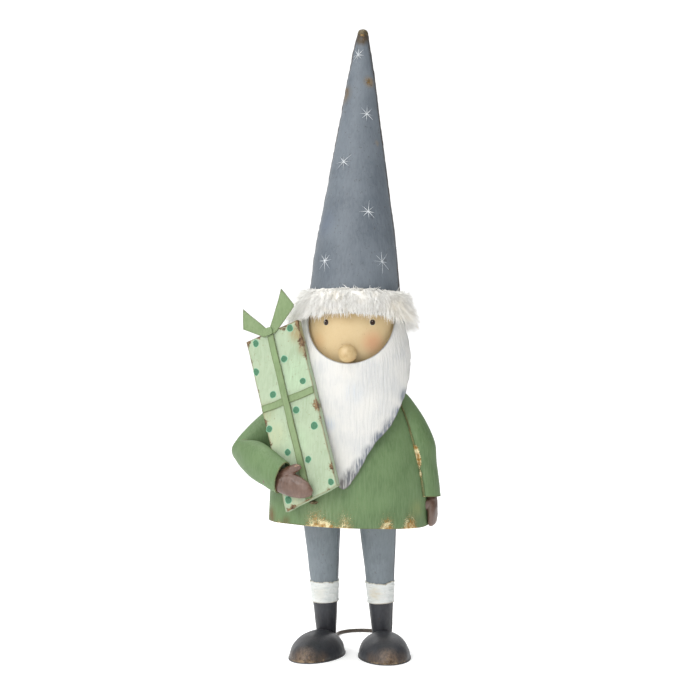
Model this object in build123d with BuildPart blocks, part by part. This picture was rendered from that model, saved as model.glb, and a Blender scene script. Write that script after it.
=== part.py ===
from build123d import *
import math
import os

os.makedirs("parts", exist_ok=True)

# Painted sheet-metal tomte: +Z up, the figure faces -Y, its own left hand is at +X.
# The origin is on the floor, under the middle of the whole figure. Millimetres.

# Driving dimensions
sheet = 0.8                 # wall of every sheet piece
body_x = 10.54              # the body's upright axis in the part's frame
body_y = -18.12
hem_height = 105.3          # lower edge of the coat above the floor
lean = 1.7                  # the body above the hem leans towards +X, degrees
hem_shift = -1.4

coat_height = 112.0
coat_half_width = 64.0
coat_half_depth = 45.0
coat_curve = 150.0          # height at which the bell would close to nothing
coat_fullness = 2.5         # how late the bell turns inward
hip_level = 20.0            # hip plate above the hem

head_bottom = coat_height + sheet
hat_level = 176.0           # rim of the hat above the hem
hat_tilt = 6.4              # the hat tips back, degrees
hat_side_tilt = 0.6         # and a little towards -X
hat_length = 219.0
bead_radius = 4.3

nose_radius = 7.4
nose_level = 135.0
nose_forward = 43.0

gift_width = 47.6
gift_left = 138.6           # the box was cut by hand: its left side is the longer one
gift_right = 133.6
gift_bottom_rise = 7.7
gift_depth = 6.0
ribbon = 5.8
strip = 0.5                 # sheet strip of the crosswise ribbon
box_clearance = 0.3         # between the box and the sleeve's slot
band_width = 0.5            # paint built up on the sock bands

hip_x = 22.4
hip_y = 4.0
ankle_left_x = 24.6
ankle_right_x = -20.5
ankle_y = 13.0
ankle_height = 16.0
ankle_radius = 8.2
leg_taper = 0.0800          # growth of the leg's radius per millimetre of height
sock_top = 57.0
boot_top = 41.0

shoe_half_width = 21.0
shoe_half_length = 37.0
shoe_height = 23.0
shoe_y = -9.0
shoe_left_x = 28.3
shoe_right_x = -25.2
shoe_splay = 10.0
shoe_crown = 0.2            # keeps the dome's topmost oval from closing to a point

wire = 3.0                  # stand loop
loop_end = 98.0             # rear end of the loop behind the body's axis

# Places: the stand is square to the floor, the upper body leans with the coat.
stand = Plane(origin=(body_x, body_y, 0))
upper = Plane(
    Location((body_x + hem_shift, body_y, hem_height)) * Location((0, 0, 0), (0, lean, 0))
)
hat_base = Plane(upper.location * Location((0, 0, hat_level), (-hat_tilt, -hat_side_tilt, 0)))
gift_front = Plane(
    upper.location
    * Location((-43.7, -49.0, 11.2))
    * Location((0, 0, 0), (0, 0, -20))
    * Location((0, 0, 0), (85, 0, 0))
    * Location((0, 0, 0), (0, 0, 19.35))
)


def oval_form(plane, sections):
    # Smooth solid through ovals (height, middle x, middle y, half width, half depth).
    with BuildPart() as form:
        for height, middle_x, middle_y, half_width, half_depth in sections:
            with BuildSketch(plane.offset(height)):
                with Locations((middle_x, middle_y)):
                    Ellipse(half_width, half_depth)
        loft()
    return form.part


def thinner(sections, wall, end=1.0):
    # The same ovals one wall further in, run past both open ends.
    inner = [[h, x, y, a - wall, b - wall] for h, x, y, a, b in sections]
    inner[0][0] -= end
    inner[-1][0] += end
    return inner


gift_normal = Axis(gift_front.origin, gift_front.z_dir)
pieces = {}

# Coat: a bell of sheet metal, closed on top by the shoulder plate. The hip plate inside holds the legs.
coat_levels = [0, 22, 45, 68, 90, coat_height]
coat_sections = []
for level in coat_levels:
    narrowing = 1 - (level / coat_curve) ** coat_fullness
    coat_sections.append((level, 0, 0, coat_half_width * narrowing, coat_half_depth * narrowing))
coat_solid = oval_form(upper, coat_sections)
coat_hollow = oval_form(upper, thinner(coat_sections, sheet))

with BuildPart() as coat:
    add(coat_solid)
    add(coat_hollow, mode=Mode.SUBTRACT)
pieces["coat"] = coat

with BuildPart() as shoulder_plate:
    with BuildSketch(upper.offset(coat_height)):
        Ellipse(coat_sections[-1][3], coat_sections[-1][4])
    extrude(amount=sheet)
pieces["shoulder_plate"] = shoulder_plate

with BuildPart() as hip_plate:
    with BuildSketch(upper.offset(hip_level)):
        Ellipse(coat_half_width, coat_half_depth)
    extrude(amount=sheet)
    add(coat_hollow, mode=Mode.INTERSECT)
pieces["hip_plate"] = hip_plate

# Head: an oval barrel in two halves, the face in front and the hair behind.
head_sections = [
    (head_bottom, 0, 0, 33.0, 27.0),
    (124, 0, 0, 38.0, 34.0),
    (138, 0, 0, 40.0, 37.6),
    (152, 0, 0, 39.8, 37.2),
    (168, 0, 0, 37.6, 34.6),
    (182, 0, 0, 34.5, 31.5),
]
head_solid = oval_form(upper, head_sections)
head_hollow = oval_form(upper, thinner(head_sections, sheet))
head_middle = Plane(upper.location * Location((0, 0, 0), (90, 0, 0)))

with BuildPart() as face_shell:
    add(head_solid)
    add(head_hollow, mode=Mode.SUBTRACT)
    split(bisect_by=head_middle, keep=Keep.TOP)
pieces["face_shell"] = face_shell

with BuildPart() as head_back_shell:
    add(head_solid)
    add(head_hollow, mode=Mode.SUBTRACT)
    split(bisect_by=head_middle, keep=Keep.BOTTOM)
pieces["head_back_shell"] = head_back_shell

nose_place = Plane(upper.location * Location((0, -nose_forward, nose_level)))
with BuildPart() as nose:
    with Locations(nose_place):
        Sphere(nose_radius)
    add(head_solid, mode=Mode.SUBTRACT)
pieces["nose"] = nose

# Beard: one domed sheet in a teardrop, cut out for the face, its sides running up under the fur.
beard_sections = [
    (22, 0, -35.8, 28.0, 10.5),
    (60, 0, -28.8, 34.0, 16.6),
    (90, 0, -17.0, 44.0, 28.0),
    (125, 0, -6.5, 46.5, 38.0),
    (150, 0, -2.5, 42.6, 38.8),
    (172, 0, 0, 37.4, 34.4),
]
beard_solid = oval_form(upper, beard_sections)
beard_hollow = oval_form(upper, thinner(beard_sections, sheet))
beard_middles = [(middle_y, height) for height, _, middle_y, _, _ in beard_sections]
beard_side = [
    (0, 30), (6.5, 36), (12.5, 46), (22.5, 65), (34, 79), (42, 102), (45, 124), (42.6, 142), (37.6, 154)
]
beard_top = (37.0, 170)
beard_reach = 70.0          # the outline is cut through everything in front of the head's middle
behind = 60.0
face_middle = 162.0
face_radius = 34.6
brow_middle = 172.0
with BuildPart() as beard:
    with BuildSketch(Plane(head_middle.location)):
        with BuildLine():
            Spline(*beard_side, tangents=((1, 0.35), (-0.25, 1)))
            Line(beard_side[-1], beard_top)
            Line(beard_top, (0, beard_top[1]))
            Line((0, beard_top[1]), beard_side[0])
        make_face()
        mirror(about=Plane.YZ)
        with Locations((0, face_middle)):
            Circle(face_radius, mode=Mode.SUBTRACT)
        with Locations((0, brow_middle)):
            Rectangle(56, 26, mode=Mode.SUBTRACT)
    extrude(amount=beard_reach)
    add(beard_solid, mode=Mode.INTERSECT)
    add(beard_hollow, mode=Mode.SUBTRACT)
    with BuildSketch(Plane(upper.location * Location((0, 0, 0), (90, 90, 0)))):
        with BuildLine():
            Polyline((behind, 0), *beard_middles, (behind, 200), close=True)
        make_face()
    extrude(amount=behind, both=True, mode=Mode.SUBTRACT)
    add(head_solid, mode=Mode.SUBTRACT)
pieces["beard"] = beard

# Hat: a long cone of sheet metal, slightly swollen near its rim, with a brazed bead for a tip.
hat_side = [(37.0, 0), (36.1, 8), (32.8, 40.7), (22.4, 107.7), (8.9, 195.2), (4.4, hat_length)]


def hat_form(inset, run_past):
    # Solid of revolution under the hat's side line, one inset further in.
    side = [(radius - inset, height) for radius, height in hat_side]
    with BuildPart() as form:
        with BuildSketch(Plane(hat_base.location * Location((0, 0, 0), (90, 0, 0)))):
            with BuildLine():
                Spline(*side)
                Line(side[-1], (0, hat_length))
                Line((0, hat_length), (0, -run_past))
                Line((0, -run_past), (side[0][0], -run_past))
                if run_past > 0:
                    Line((side[0][0], -run_past), side[0])
            make_face()
        revolve(axis=Axis(hat_base.origin, hat_base.z_dir))
    return form.part


hat_solid = hat_form(0, 0)
with BuildPart() as hat_cone:
    add(hat_solid)
    add(hat_form(sheet, 1.0), mode=Mode.SUBTRACT)
pieces["hat_cone"] = hat_cone

bead_place = Plane(hat_base.location * Location((0, 0, hat_length + 1.2)))
with BuildPart() as hat_tip_bead:
    with Locations(bead_place):
        Sphere(bead_radius)
    add(hat_solid, mode=Mode.SUBTRACT)
    add(hat_cone.part, mode=Mode.SUBTRACT)
pieces["hat_tip_bead"] = hat_tip_bead

# Gift box: a hand-cut tray with folded sides, closed by a back plate.
gift_corners = [
    (0, 0),
    (gift_width, gift_bottom_rise),
    (gift_width, gift_bottom_rise + gift_right),
    (0, gift_left),
]


def gift_block(grow, front, back):
    # The box's outline, grown or shrunk, between two depths along its normal.
    with BuildPart() as block:
        with BuildSketch(gift_front.offset(back)):
            with BuildLine():
                Polyline(*gift_corners, close=True)
            make_face()
            if grow != 0:
                offset(amount=grow, kind=Kind.INTERSECTION)
        extrude(amount=front - back)
    return block.part


with BuildPart() as gift_box_front:
    add(gift_block(0, 0, -gift_depth))
    add(gift_block(-sheet, -sheet, -gift_depth - 1), mode=Mode.SUBTRACT)
pieces["gift_box_front"] = gift_box_front

with BuildPart() as gift_box_back:
    add(gift_block(-sheet, -gift_depth + sheet, -gift_depth))
pieces["gift_box_back"] = gift_box_back

ribbon_across = [(0, 79.4), (gift_width, 81.6), (gift_width, 87.4), (0, 85.2)]
with BuildPart() as gift_ribbon_cross:
    with BuildSketch(gift_front):
        with BuildLine():
            Polyline(*ribbon_across, close=True)
        make_face()
    extrude(amount=strip)
pieces["gift_ribbon_cross"] = gift_ribbon_cross

ribbon_middle = 22.4
with BuildPart() as gift_ribbon_long:
    with BuildSketch(gift_front):
        with Locations((ribbon_middle, 70.4)):
            Rectangle(ribbon, 132.4)
    extrude(amount=2 * strip)
    add(gift_ribbon_cross.part, mode=Mode.SUBTRACT)
pieces["gift_ribbon_long"] = gift_ribbon_long

bow_tails = {
    "gift_bow_tail_right": [(16.6, 137.0), (20.6, 137.4), (21.0, 141.6), (5.3, 164.0), (0.9, 148.6)],
    "gift_bow_tail_left": [
        (21.8, 137.4), (26.8, 137.4), (48.6, 151.4), (49.2, 153.4), (42.2, 168.6), (22.6, 142.0)
    ],
}
for tail_name, tail_corners in bow_tails.items():
    with BuildPart() as bow_tail:
        with BuildSketch(gift_front):
            with BuildLine():
                Polyline(*tail_corners, close=True)
            make_face()
        extrude(amount=sheet)
    pieces[tail_name] = bow_tail

with BuildPart() as gift_bow_knot:
    with BuildSketch(gift_front.offset(sheet)):
        with Locations((21.3, 140.2)):
            RectangleRounded(8.4, 6.2, 2.0)
    extrude(amount=2.0)
    fillet(gift_bow_knot.faces().sort_by(gift_normal)[-1].edges(), 0.9)
pieces["gift_bow_knot"] = gift_bow_knot

# Left arm: a channel hanging at the coat's side, closed on to it at the shoulder.
left_sleeve_sections = [
    (23.8, 61.0, 0, 12.4, 14.0),
    (48, 56.5, 0, 13.4, 16.0),
    (66, 53.4, 0, 14.0, 16.5),
    (83, 47.4, 0, 12.2, 15.0),
    (95, 41.8, 0, 9.6, 12.0),
    (104, 37.6, 0, 6.0, 8.0),
]
left_sleeve_hollow = [list(section) for section in thinner(left_sleeve_sections, sheet)]
left_sleeve_hollow[-1][0] = 104 - sheet
with BuildPart() as left_sleeve:
    add(oval_form(upper, left_sleeve_sections))
    add(oval_form(upper, left_sleeve_hollow), mode=Mode.SUBTRACT)
    add(coat_solid, mode=Mode.SUBTRACT)
pieces["left_sleeve"] = left_sleeve

left_mitten_sections = [
    (36, 63.8, 0, 4.0, 5.6),
    (27, 65.2, 0, 4.5, 6.8),
    (14, 65.9, -0.5, 5.5, 9.4),
    (5, 65.8, -0.5, 5.1, 8.6),
    (1, 65.8, -0.3, 3.6, 6.2),
    (-0.6, 65.8, 0, 1.4, 2.6),
]
left_thumb = Plane(upper.location * Location((61.2, -6.2, 16.6), (0, 24, 0)))
left_thumb_sections = [(-7, 1.5, 2, 1.6, 2.2), (-4, 0, 0, 3.0, 3.4), (3, 1, 0, 3.4, 3.8), (8, 3, 2, 3.0, 3.4)]
with BuildPart() as left_mitten:
    add(oval_form(upper, left_mitten_sections))
    add(oval_form(left_thumb, left_thumb_sections))
    add(coat_solid, mode=Mode.SUBTRACT)
pieces["left_mitten"] = left_mitten

# Right arm: bent at the elbow, its forearm coming forward round the box's edge.
# Each station: middle, direction of the arm, half height and half thickness of the sleeve.
right_stations = [
    ((-41, 1, 97), (-0.70, -0.10, -0.71), 9.4, 9.0),
    ((-62, -3, 76), (-0.67, -0.22, -0.72), 13.0, 12.4),
    ((-81.2, -14, 53.0), (-0.05, -0.74, -0.67), 15.4, 12.8),
    ((-67.5, -33, 47.6), (0.64, -0.70, -0.30), 15.2, 10.0),
    ((-46.6, -53, 37.7), (0.76, -0.58, -0.33), 13.2, 7.6),
]
elbow = 2


def arm_form(inset, run_past):
    # The upper arm and the forearm are two lofts that share the oval at the elbow.
    ovals = []
    for index, (middle, along, half_height, half_thickness) in enumerate(right_stations):
        direction = Vector(*along).normalized()
        outer_side = Vector(direction.Y, -direction.X, 0).normalized()
        centre = Vector(*middle)
        if index == 0:
            centre += direction * inset
        if index == len(right_stations) - 1:
            centre += direction * run_past
        station = Plane(origin=centre, x_dir=outer_side.cross(direction), z_dir=direction)
        ovals.append((Plane(upper.location * station.location), half_height - inset, half_thickness - inset))
    with BuildPart() as form:
        for stretch in (ovals[:elbow + 1], ovals[elbow:]):
            for place, half_height, half_thickness in stretch:
                with BuildSketch(place):
                    Ellipse(half_height, half_thickness)
            loft()
    return form.part


hand_place = gift_front.location * Location((0, 25.6, 5.6), (0, 0, -31)) * Location((0, 0, 0), (0, 90, 0))
hand_sections = [
    (-2, 0, 0, 3.4, 6.2),
    (5, 0, 0, 4.2, 8.2),
    (15, 0, 0, 4.5, 9.0),
    (25, 0, -0.4, 4.3, 7.6),
    (31, 0, -0.8, 3.2, 4.8),
    (34, 0, -1.0, 1.2, 2.0),
]
thumb_place = gift_front.location * Location((9, 28.6, 6.4), (0, 0, 4)) * Location((0, 0, 0), (0, 90, 0))
thumb_sections = [(-2, 0, 0, 2.4, 2.8), (5, 0, 0, 2.9, 3.4), (12, 0, 0, 2.7, 3.2), (16, 0, -0.6, 1.1, 1.4)]
with BuildPart() as right_mitten:
    add(oval_form(Plane(hand_place), hand_sections))
    add(oval_form(Plane(thumb_place), thumb_sections))
pieces["right_mitten"] = right_mitten

with BuildPart() as right_sleeve:
    add(arm_form(0, 0))
    add(arm_form(sheet, 1.0), mode=Mode.SUBTRACT)
    add(coat_solid, mode=Mode.SUBTRACT)
    add(gift_block(box_clearance, 2 * strip, -gift_depth - box_clearance), mode=Mode.SUBTRACT)
    add(right_mitten.part, mode=Mode.SUBTRACT)
pieces["right_sleeve"] = right_sleeve

# Brazing that holds the box's bottom edge to the coat.
braze_radius = 5.6
braze_place = Plane(upper.location * Location((-22.6, -47.0, 19.6)))
with BuildPart() as gift_braze:
    with Locations(braze_place):
        Sphere(braze_radius)
    add(coat_solid, mode=Mode.SUBTRACT)
    add(gift_block(0, 0, -gift_depth), mode=Mode.SUBTRACT)
pieces["gift_braze"] = gift_braze

# Fur trim: a thick ring round the hat's rim and the top of the head.
fur_clearance = 0.4
fur_profile = [(33, 8), (41, 10), (48, 7), (52, 0), (52.5, -9), (49, -17), (42, -17), (33, -9)]
with BuildPart() as fur_trim:
    with BuildSketch(Plane(hat_base.location * Location((0, 0, 0), (90, 0, 0)))) as fur_section:
        with BuildLine():
            Polyline(*fur_profile, close=True)
        make_face()
        fillet(fur_section.vertices().filter_by_position(Axis.X, 45, 60), 2.0)
    revolve(axis=Axis(hat_base.origin, hat_base.z_dir))
    add(hat_solid, mode=Mode.SUBTRACT)
    add(head_solid, mode=Mode.SUBTRACT)
    add(beard.part, mode=Mode.SUBTRACT)
    add(gift_block(fur_clearance, sheet + fur_clearance, -gift_depth - fur_clearance), mode=Mode.SUBTRACT)
pieces["fur_trim"] = fur_trim

# Legs: each is a cone from the hip plate to the shoe, in three lengths.
sides = {
    "left": (hip_x, ankle_left_x, shoe_left_x, shoe_splay),
    "right": (-hip_x, ankle_right_x, shoe_right_x, -shoe_splay),
}


def shoe_form(place, inset):
    # Egg-shaped dome of ovals that close towards the top.
    sections = []
    for height in (0, 5, 10, 15, 19, 21.6, shoe_height):
        closing = math.sqrt(1 - (height / (shoe_height + shoe_crown)) ** 2)
        half_width = shoe_half_width * closing - inset
        half_length = shoe_half_length * closing - inset
        sections.append((height * (1 - inset / shoe_height), 0, 0, half_width, half_length))
    return oval_form(place, sections)


shoe_solids = []
heel_places = []
for side, (top_x, ankle_x, shoe_x, splay) in sides.items():
    shoe_place = Plane(stand.location * Location((shoe_x, shoe_y, 0), (0, 0, splay)))
    shoe_solid = shoe_form(shoe_place, 0)
    shoe_solids.append(shoe_solid)
    turn = math.radians(splay)
    heel_places.append(
        (shoe_x - shoe_half_length * math.sin(turn), shoe_y + shoe_half_length * math.cos(turn))
    )

    with BuildPart() as sole:
        with BuildSketch(shoe_place):
            Ellipse(shoe_half_width, shoe_half_length)
        extrude(amount=sheet)
    pieces[f"{side}_sole"] = sole

    with BuildPart() as shoe:
        add(shoe_solid)
        add(shoe_form(shoe_place, sheet), mode=Mode.SUBTRACT)
        split(bisect_by=shoe_place.offset(sheet), keep=Keep.TOP)
    pieces[f"{side}_shoe"] = shoe

    ankle = Vector(body_x + ankle_x, body_y + ankle_y, ankle_height)
    hip = Vector(body_x + hem_shift + top_x, body_y + hip_y, hem_height + hip_level)
    leg_place = Plane(origin=ankle, x_dir=(1, 0, 0), z_dir=hip - ankle)
    lengths = [
        ("leg", sock_top - ankle_height, (hip - ankle).length + 4, 0),
        ("sock_band", boot_top - ankle_height, sock_top - ankle_height, band_width),
        ("boot_shaft", -ankle_height + 3, boot_top - ankle_height, 0),
    ]
    for length_name, low, high, built_up in lengths:
        with BuildPart() as tube:
            for outside, mode in ((built_up, Mode.ADD), (-sheet, Mode.SUBTRACT)):
                run_past = 0 if mode == Mode.ADD else 0.5
                for level in (low - run_past, high + run_past):
                    with BuildSketch(leg_place.offset(level)):
                        Circle(ankle_radius + leg_taper * level + outside)
                loft(mode=mode)
            if length_name == "leg":
                split(bisect_by=upper.offset(hip_level), keep=Keep.BOTTOM)
            if length_name == "boot_shaft":
                add(shoe_solid, mode=Mode.SUBTRACT)
        pieces[f"{side}_{length_name}"] = tube

# Stand loop: a wire from heel to heel, running back along the floor so that the figure can't tip.
(left_heel_x, left_heel_y), (right_heel_x, right_heel_y) = heel_places
loop_radius = (left_heel_x - right_heel_x) / 2
loop_middle = (left_heel_x + right_heel_x) / 2
bend_start = loop_end - loop_radius
with BuildPart() as stand_loop:
    with BuildLine(stand.offset(wire / 2)) as loop_path:
        Line((left_heel_x, left_heel_y - 5), (left_heel_x, bend_start))
        ThreePointArc((left_heel_x, bend_start), (loop_middle, loop_end), (right_heel_x, bend_start))
        Line((right_heel_x, bend_start), (right_heel_x, right_heel_y - 5))
    with BuildSketch(Plane(origin=loop_path.line @ 0, z_dir=loop_path.line % 0)):
        Circle(wire / 2)
    sweep(path=loop_path.line)
    for shoe_solid in shoe_solids:
        add(shoe_solid, mode=Mode.SUBTRACT)
pieces["stand_loop"] = stand_loop

for name, piece in pieces.items():
    piece.part.label = name
    export_step(piece.part, f"parts/{name}.step")
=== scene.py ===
import math

import bmesh
import bpy
from mathutils import Matrix, Vector, kdtree, noise


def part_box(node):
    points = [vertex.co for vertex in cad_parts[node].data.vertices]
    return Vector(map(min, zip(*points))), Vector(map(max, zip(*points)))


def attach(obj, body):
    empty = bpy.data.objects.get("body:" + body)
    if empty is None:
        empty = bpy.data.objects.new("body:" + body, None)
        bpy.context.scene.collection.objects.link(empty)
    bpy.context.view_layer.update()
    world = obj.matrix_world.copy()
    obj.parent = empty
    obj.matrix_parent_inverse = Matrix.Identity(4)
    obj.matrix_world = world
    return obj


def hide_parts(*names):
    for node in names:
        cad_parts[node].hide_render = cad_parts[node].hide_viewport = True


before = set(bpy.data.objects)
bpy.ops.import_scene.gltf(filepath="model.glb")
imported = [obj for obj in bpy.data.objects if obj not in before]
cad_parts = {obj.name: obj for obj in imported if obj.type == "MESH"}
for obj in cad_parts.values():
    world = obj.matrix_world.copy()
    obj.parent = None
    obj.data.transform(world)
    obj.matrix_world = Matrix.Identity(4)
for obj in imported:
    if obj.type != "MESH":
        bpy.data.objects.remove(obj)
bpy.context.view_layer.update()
print("frame loaded,", len(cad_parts), "nodes")

mm = 0.001


def middleOf(node):
    low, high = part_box(node)
    return (low + high) / 2


# The upper body leans: its axis runs through the hip plate and the shoulder plate.
plates = {"hipLevel": 20.4, "hemShift": 1.4}
hipMiddle = middleOf("hip_plate")
axisUp = (middleOf("shoulder_plate") - hipMiddle).normalized()
axisRight = Vector((axisUp.z, 0, -axisUp.x))
axisBack = Vector((0, 1, 0))
hemMiddle = hipMiddle - axisUp * plates["hipLevel"] * mm
footMiddle = Vector((hemMiddle.x + plates["hemShift"] * mm, hemMiddle.y, 0))


def onBody(x, y, w):
    # millimetres right, back and up from the middle of the hem, to metres
    return hemMiddle + (axisRight * x + axisBack * y + axisUp * w) * mm


def onFloor(x, y, z):
    return footMiddle + Vector((x, y, z)) * mm


def clamp(value, low=0.0, high=1.0):
    return max(low, min(high, value))


def smooth(value):
    value = clamp(value)
    return value * value * (3 - 2 * value)


def along(rows, key):
    # a row read off a table of rows that start with their key, on a smooth line through them
    last = len(rows) - 1
    index = 0
    while index < last - 1 and key > rows[index + 1][0]:
        index += 1
    before, start, end, after = (rows[clamp(index + step, 0, last)] for step in (-1, 0, 1, 2))
    span = end[0] - start[0]
    t = clamp((key - start[0]) / span)
    found = []
    for c in range(1, len(start)):
        inSlope = (end[c] - before[c]) / max(end[0] - before[0], 1e-6) * span
        outSlope = (after[c] - start[c]) / max(after[0] - start[0], 1e-6) * span
        cubic = (2 * t ** 3 - 3 * t ** 2 + 1) * start[c] + (t ** 3 - 2 * t ** 2 + t) * inSlope
        cubic += (3 * t ** 2 - 2 * t ** 3) * end[c] + (t ** 3 - t ** 2) * outSlope
        found.append(cubic)
    return found


def rough(x, y, z, seed=0.0):
    return noise.noise(Vector((x + seed * 7.3, y - seed * 3.1, z + seed)))


def newObject(name, mesh):
    piece = bpy.data.objects.new(name, mesh)
    bpy.context.collection.objects.link(piece)
    return piece


def meshOf(name, points, faces):
    mesh = bpy.data.meshes.new(name)
    mesh.from_pydata([tuple(p) for p in points], [], faces)
    mesh.update()
    return mesh


def baked(piece):
    # the piece's modifiers become its mesh
    bpy.context.view_layer.update()
    done = bpy.data.meshes.new_from_object(piece.evaluated_get(bpy.context.evaluated_depsgraph_get()))
    piece.modifiers.clear()
    piece.data = done
    return piece


def gridSheet(name, across, alongCount, point, closed=False, relief=None):
    # An open sheet: point(u, v) places it, relief(u, v, place) lifts it along its normal, in mm.
    columns = across if closed else across + 1
    uv = [(i / across, j / alongCount) for j in range(alongCount + 1) for i in range(columns)]
    points = [point(u, v) for u, v in uv]
    faces = []
    for j in range(alongCount):
        for i in range(across):
            right = (i + 1) % columns
            faces.append((j * columns + i, j * columns + right, (j + 1) * columns + right, (j + 1) * columns
                          + i))
    mesh = meshOf(name, points, faces)
    if relief:
        normals = [v.normal.copy() for v in mesh.vertices]
        for vertex, normal, (u, v) in zip(mesh.vertices, normals, uv):
            vertex.co += normal * relief(u, v, vertex.co / mm) * mm
        mesh.update()
    return newObject(name, mesh)


def markEdges(piece, seams=(), spots=(), base=0.0, sharp=34):
    # rim: millimetres to the nearest cut edge or seam; worn: how rubbed the paint is there.
    mesh = piece.data
    normals = [face.normal.copy() for face in mesh.polygons]
    besides = {}
    for face in mesh.polygons:
        for key in face.edge_keys:
            besides.setdefault(key, []).append(face.index)
    limit = math.cos(math.radians(sharp))
    edgePoints = list(seams)
    for (first, second), faces in besides.items():
        if len(faces) == 1 or normals[faces[0]].dot(normals[faces[1]]) < limit:
            start, end = mesh.vertices[first].co, mesh.vertices[second].co
            edgePoints += [start, (start + end) / 2, end]
    tree = kdtree.KDTree(max(1, len(edgePoints)))
    for index, co in enumerate(edgePoints):
        tree.insert(co, index)
    if not edgePoints:
        tree.insert((0, 0, -1), 0)
    tree.balance()
    rim = mesh.attributes.new("rim", "FLOAT", "POINT")
    worn = mesh.attributes.new("worn", "FLOAT", "POINT")
    for vertex in mesh.vertices:
        rim.data[vertex.index].value = tree.find(vertex.co)[2] / mm
        strength = base
        for centre, radius, amount in spots:
            strength += amount * smooth(1 - (vertex.co - centre).length / (radius * mm))
        worn.data[vertex.index].value = strength


def thicken(piece, wall=0.8, corner=0.0, folded=False):
    shell = piece.modifiers.new("wall", "SOLIDIFY")
    shell.thickness = wall * mm
    shell.offset = -1
    shell.use_even_offset = folded
    if corner:
        soft = piece.modifiers.new("corner", "BEVEL")
        soft.width = corner * mm
        soft.segments = 2
        soft.limit_method = "ANGLE"
        soft.angle_limit = math.radians(50)
    return baked(piece)


def finishPiece(piece, material, slot, *nodes, sharp=38):
    for face in piece.data.polygons:
        face.use_smooth = True
    piece.data.set_sharp_from_angle(angle=math.radians(sharp))
    if material:
        piece.data.materials.clear()
        piece.data.materials.append(material)
    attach(piece, "root")
    if nodes:
        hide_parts(*nodes)
    return piece


def addNode(tree, kind, inputs=None, **settings):
    node = tree.nodes.new(kind)
    for key, value in settings.items():
        setattr(node, key, value)
    for key, value in (inputs or {}).items():
        if isinstance(value, bpy.types.NodeSocket):
            tree.links.new(value, node.inputs[key])
        else:
            node.inputs[key].default_value = value
    return node


def firstOut(tree, kind, inputs=None, **settings):
    return addNode(tree, kind, inputs, **settings).outputs[0]


def calc(tree, operation, a, b=0.0, c=0.0, limit=False):
    return addNode(tree, "ShaderNodeMath", {0: a, 1: b, 2: c}, operation=operation,
                   use_clamp=limit).outputs[0]


def times(tree, a, b, limit=False):
    return calc(tree, "MULTIPLY", a, b, limit=limit)


def plus(tree, a, b):
    return calc(tree, "ADD", a, b)


def minus(tree, a, b):
    return calc(tree, "SUBTRACT", a, b)


def band(tree, value, low, high):
    # 0 below low and 1 above high, with a soft step between; low may be the larger
    found = addNode(
        tree, "ShaderNodeMapRange",
        {"Value": value, "From Min": low, "From Max": high}, interpolation_type="SMOOTHSTEP",
    )
    return found.outputs["Result"]


def mixColour(tree, factor, a, b):
    return addNode(tree, "ShaderNodeMix", {0: factor, 6: a, 7: b}, data_type="RGBA").outputs[2]


def newGroup(name, kind, inputs, outputs):
    tree = bpy.data.node_groups.new(name, kind)
    for label, socket, value in inputs:
        item = tree.interface.new_socket(name=label, in_out="INPUT", socket_type=socket)
        if value is not None:
            item.default_value = value
    for label, socket in outputs:
        tree.interface.new_socket(name=label, in_out="OUTPUT", socket_type=socket)
    return tree, tree.nodes.new("NodeGroupInput").outputs, tree.nodes.new("NodeGroupOutput").inputs


def makePaintGroup():
    # Brushed paint: Shade varies broadly, Streak follows the brush, Relief is its height.
    tree, given, out = newGroup(
        "brushedPaint", "ShaderNodeTree",
        [("Patch Size", "NodeSocketFloat", 90.0), ("Streak Size", "NodeSocketFloat", 700.0),
         ("Stroke", "NodeSocketVector", (1.0, 1.0, 0.2)), ("Turn", "NodeSocketVector", (0.0, 0.0, 0.0))],
        [("Shade", "NodeSocketFloat"), ("Streak", "NodeSocketFloat"), ("Relief", "NodeSocketFloat")],
    )
    here = addNode(tree, "ShaderNodeTexCoord").outputs["Object"]
    laid = addNode(tree, "ShaderNodeMapping",
                   {"Vector": here, "Rotation": given["Turn"], "Scale": given["Stroke"]})
    broad = addNode(tree, "ShaderNodeTexNoise", {"Vector": here, "Scale": given["Patch Size"], "Detail": 4.0})
    streak = addNode(
        tree, "ShaderNodeTexNoise",
        {"Vector": laid.outputs[0], "Scale": given["Streak Size"], "Detail": 5.0, "Roughness": 0.6,
         "Distortion": 0.3},
    )
    fine = addNode(tree, "ShaderNodeTexNoise", {"Vector": here, "Scale": 2600.0, "Detail": 2.0})
    tree.links.new(band(tree, broad.outputs[0], 0.3, 0.7), out["Shade"])
    tree.links.new(band(tree, streak.outputs[0], 0.28, 0.72), out["Streak"])
    height = plus(tree, times(tree, streak.outputs[0], 0.75), times(tree, fine.outputs[0], 0.25))
    tree.links.new(height, out["Relief"])
    return tree


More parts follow.
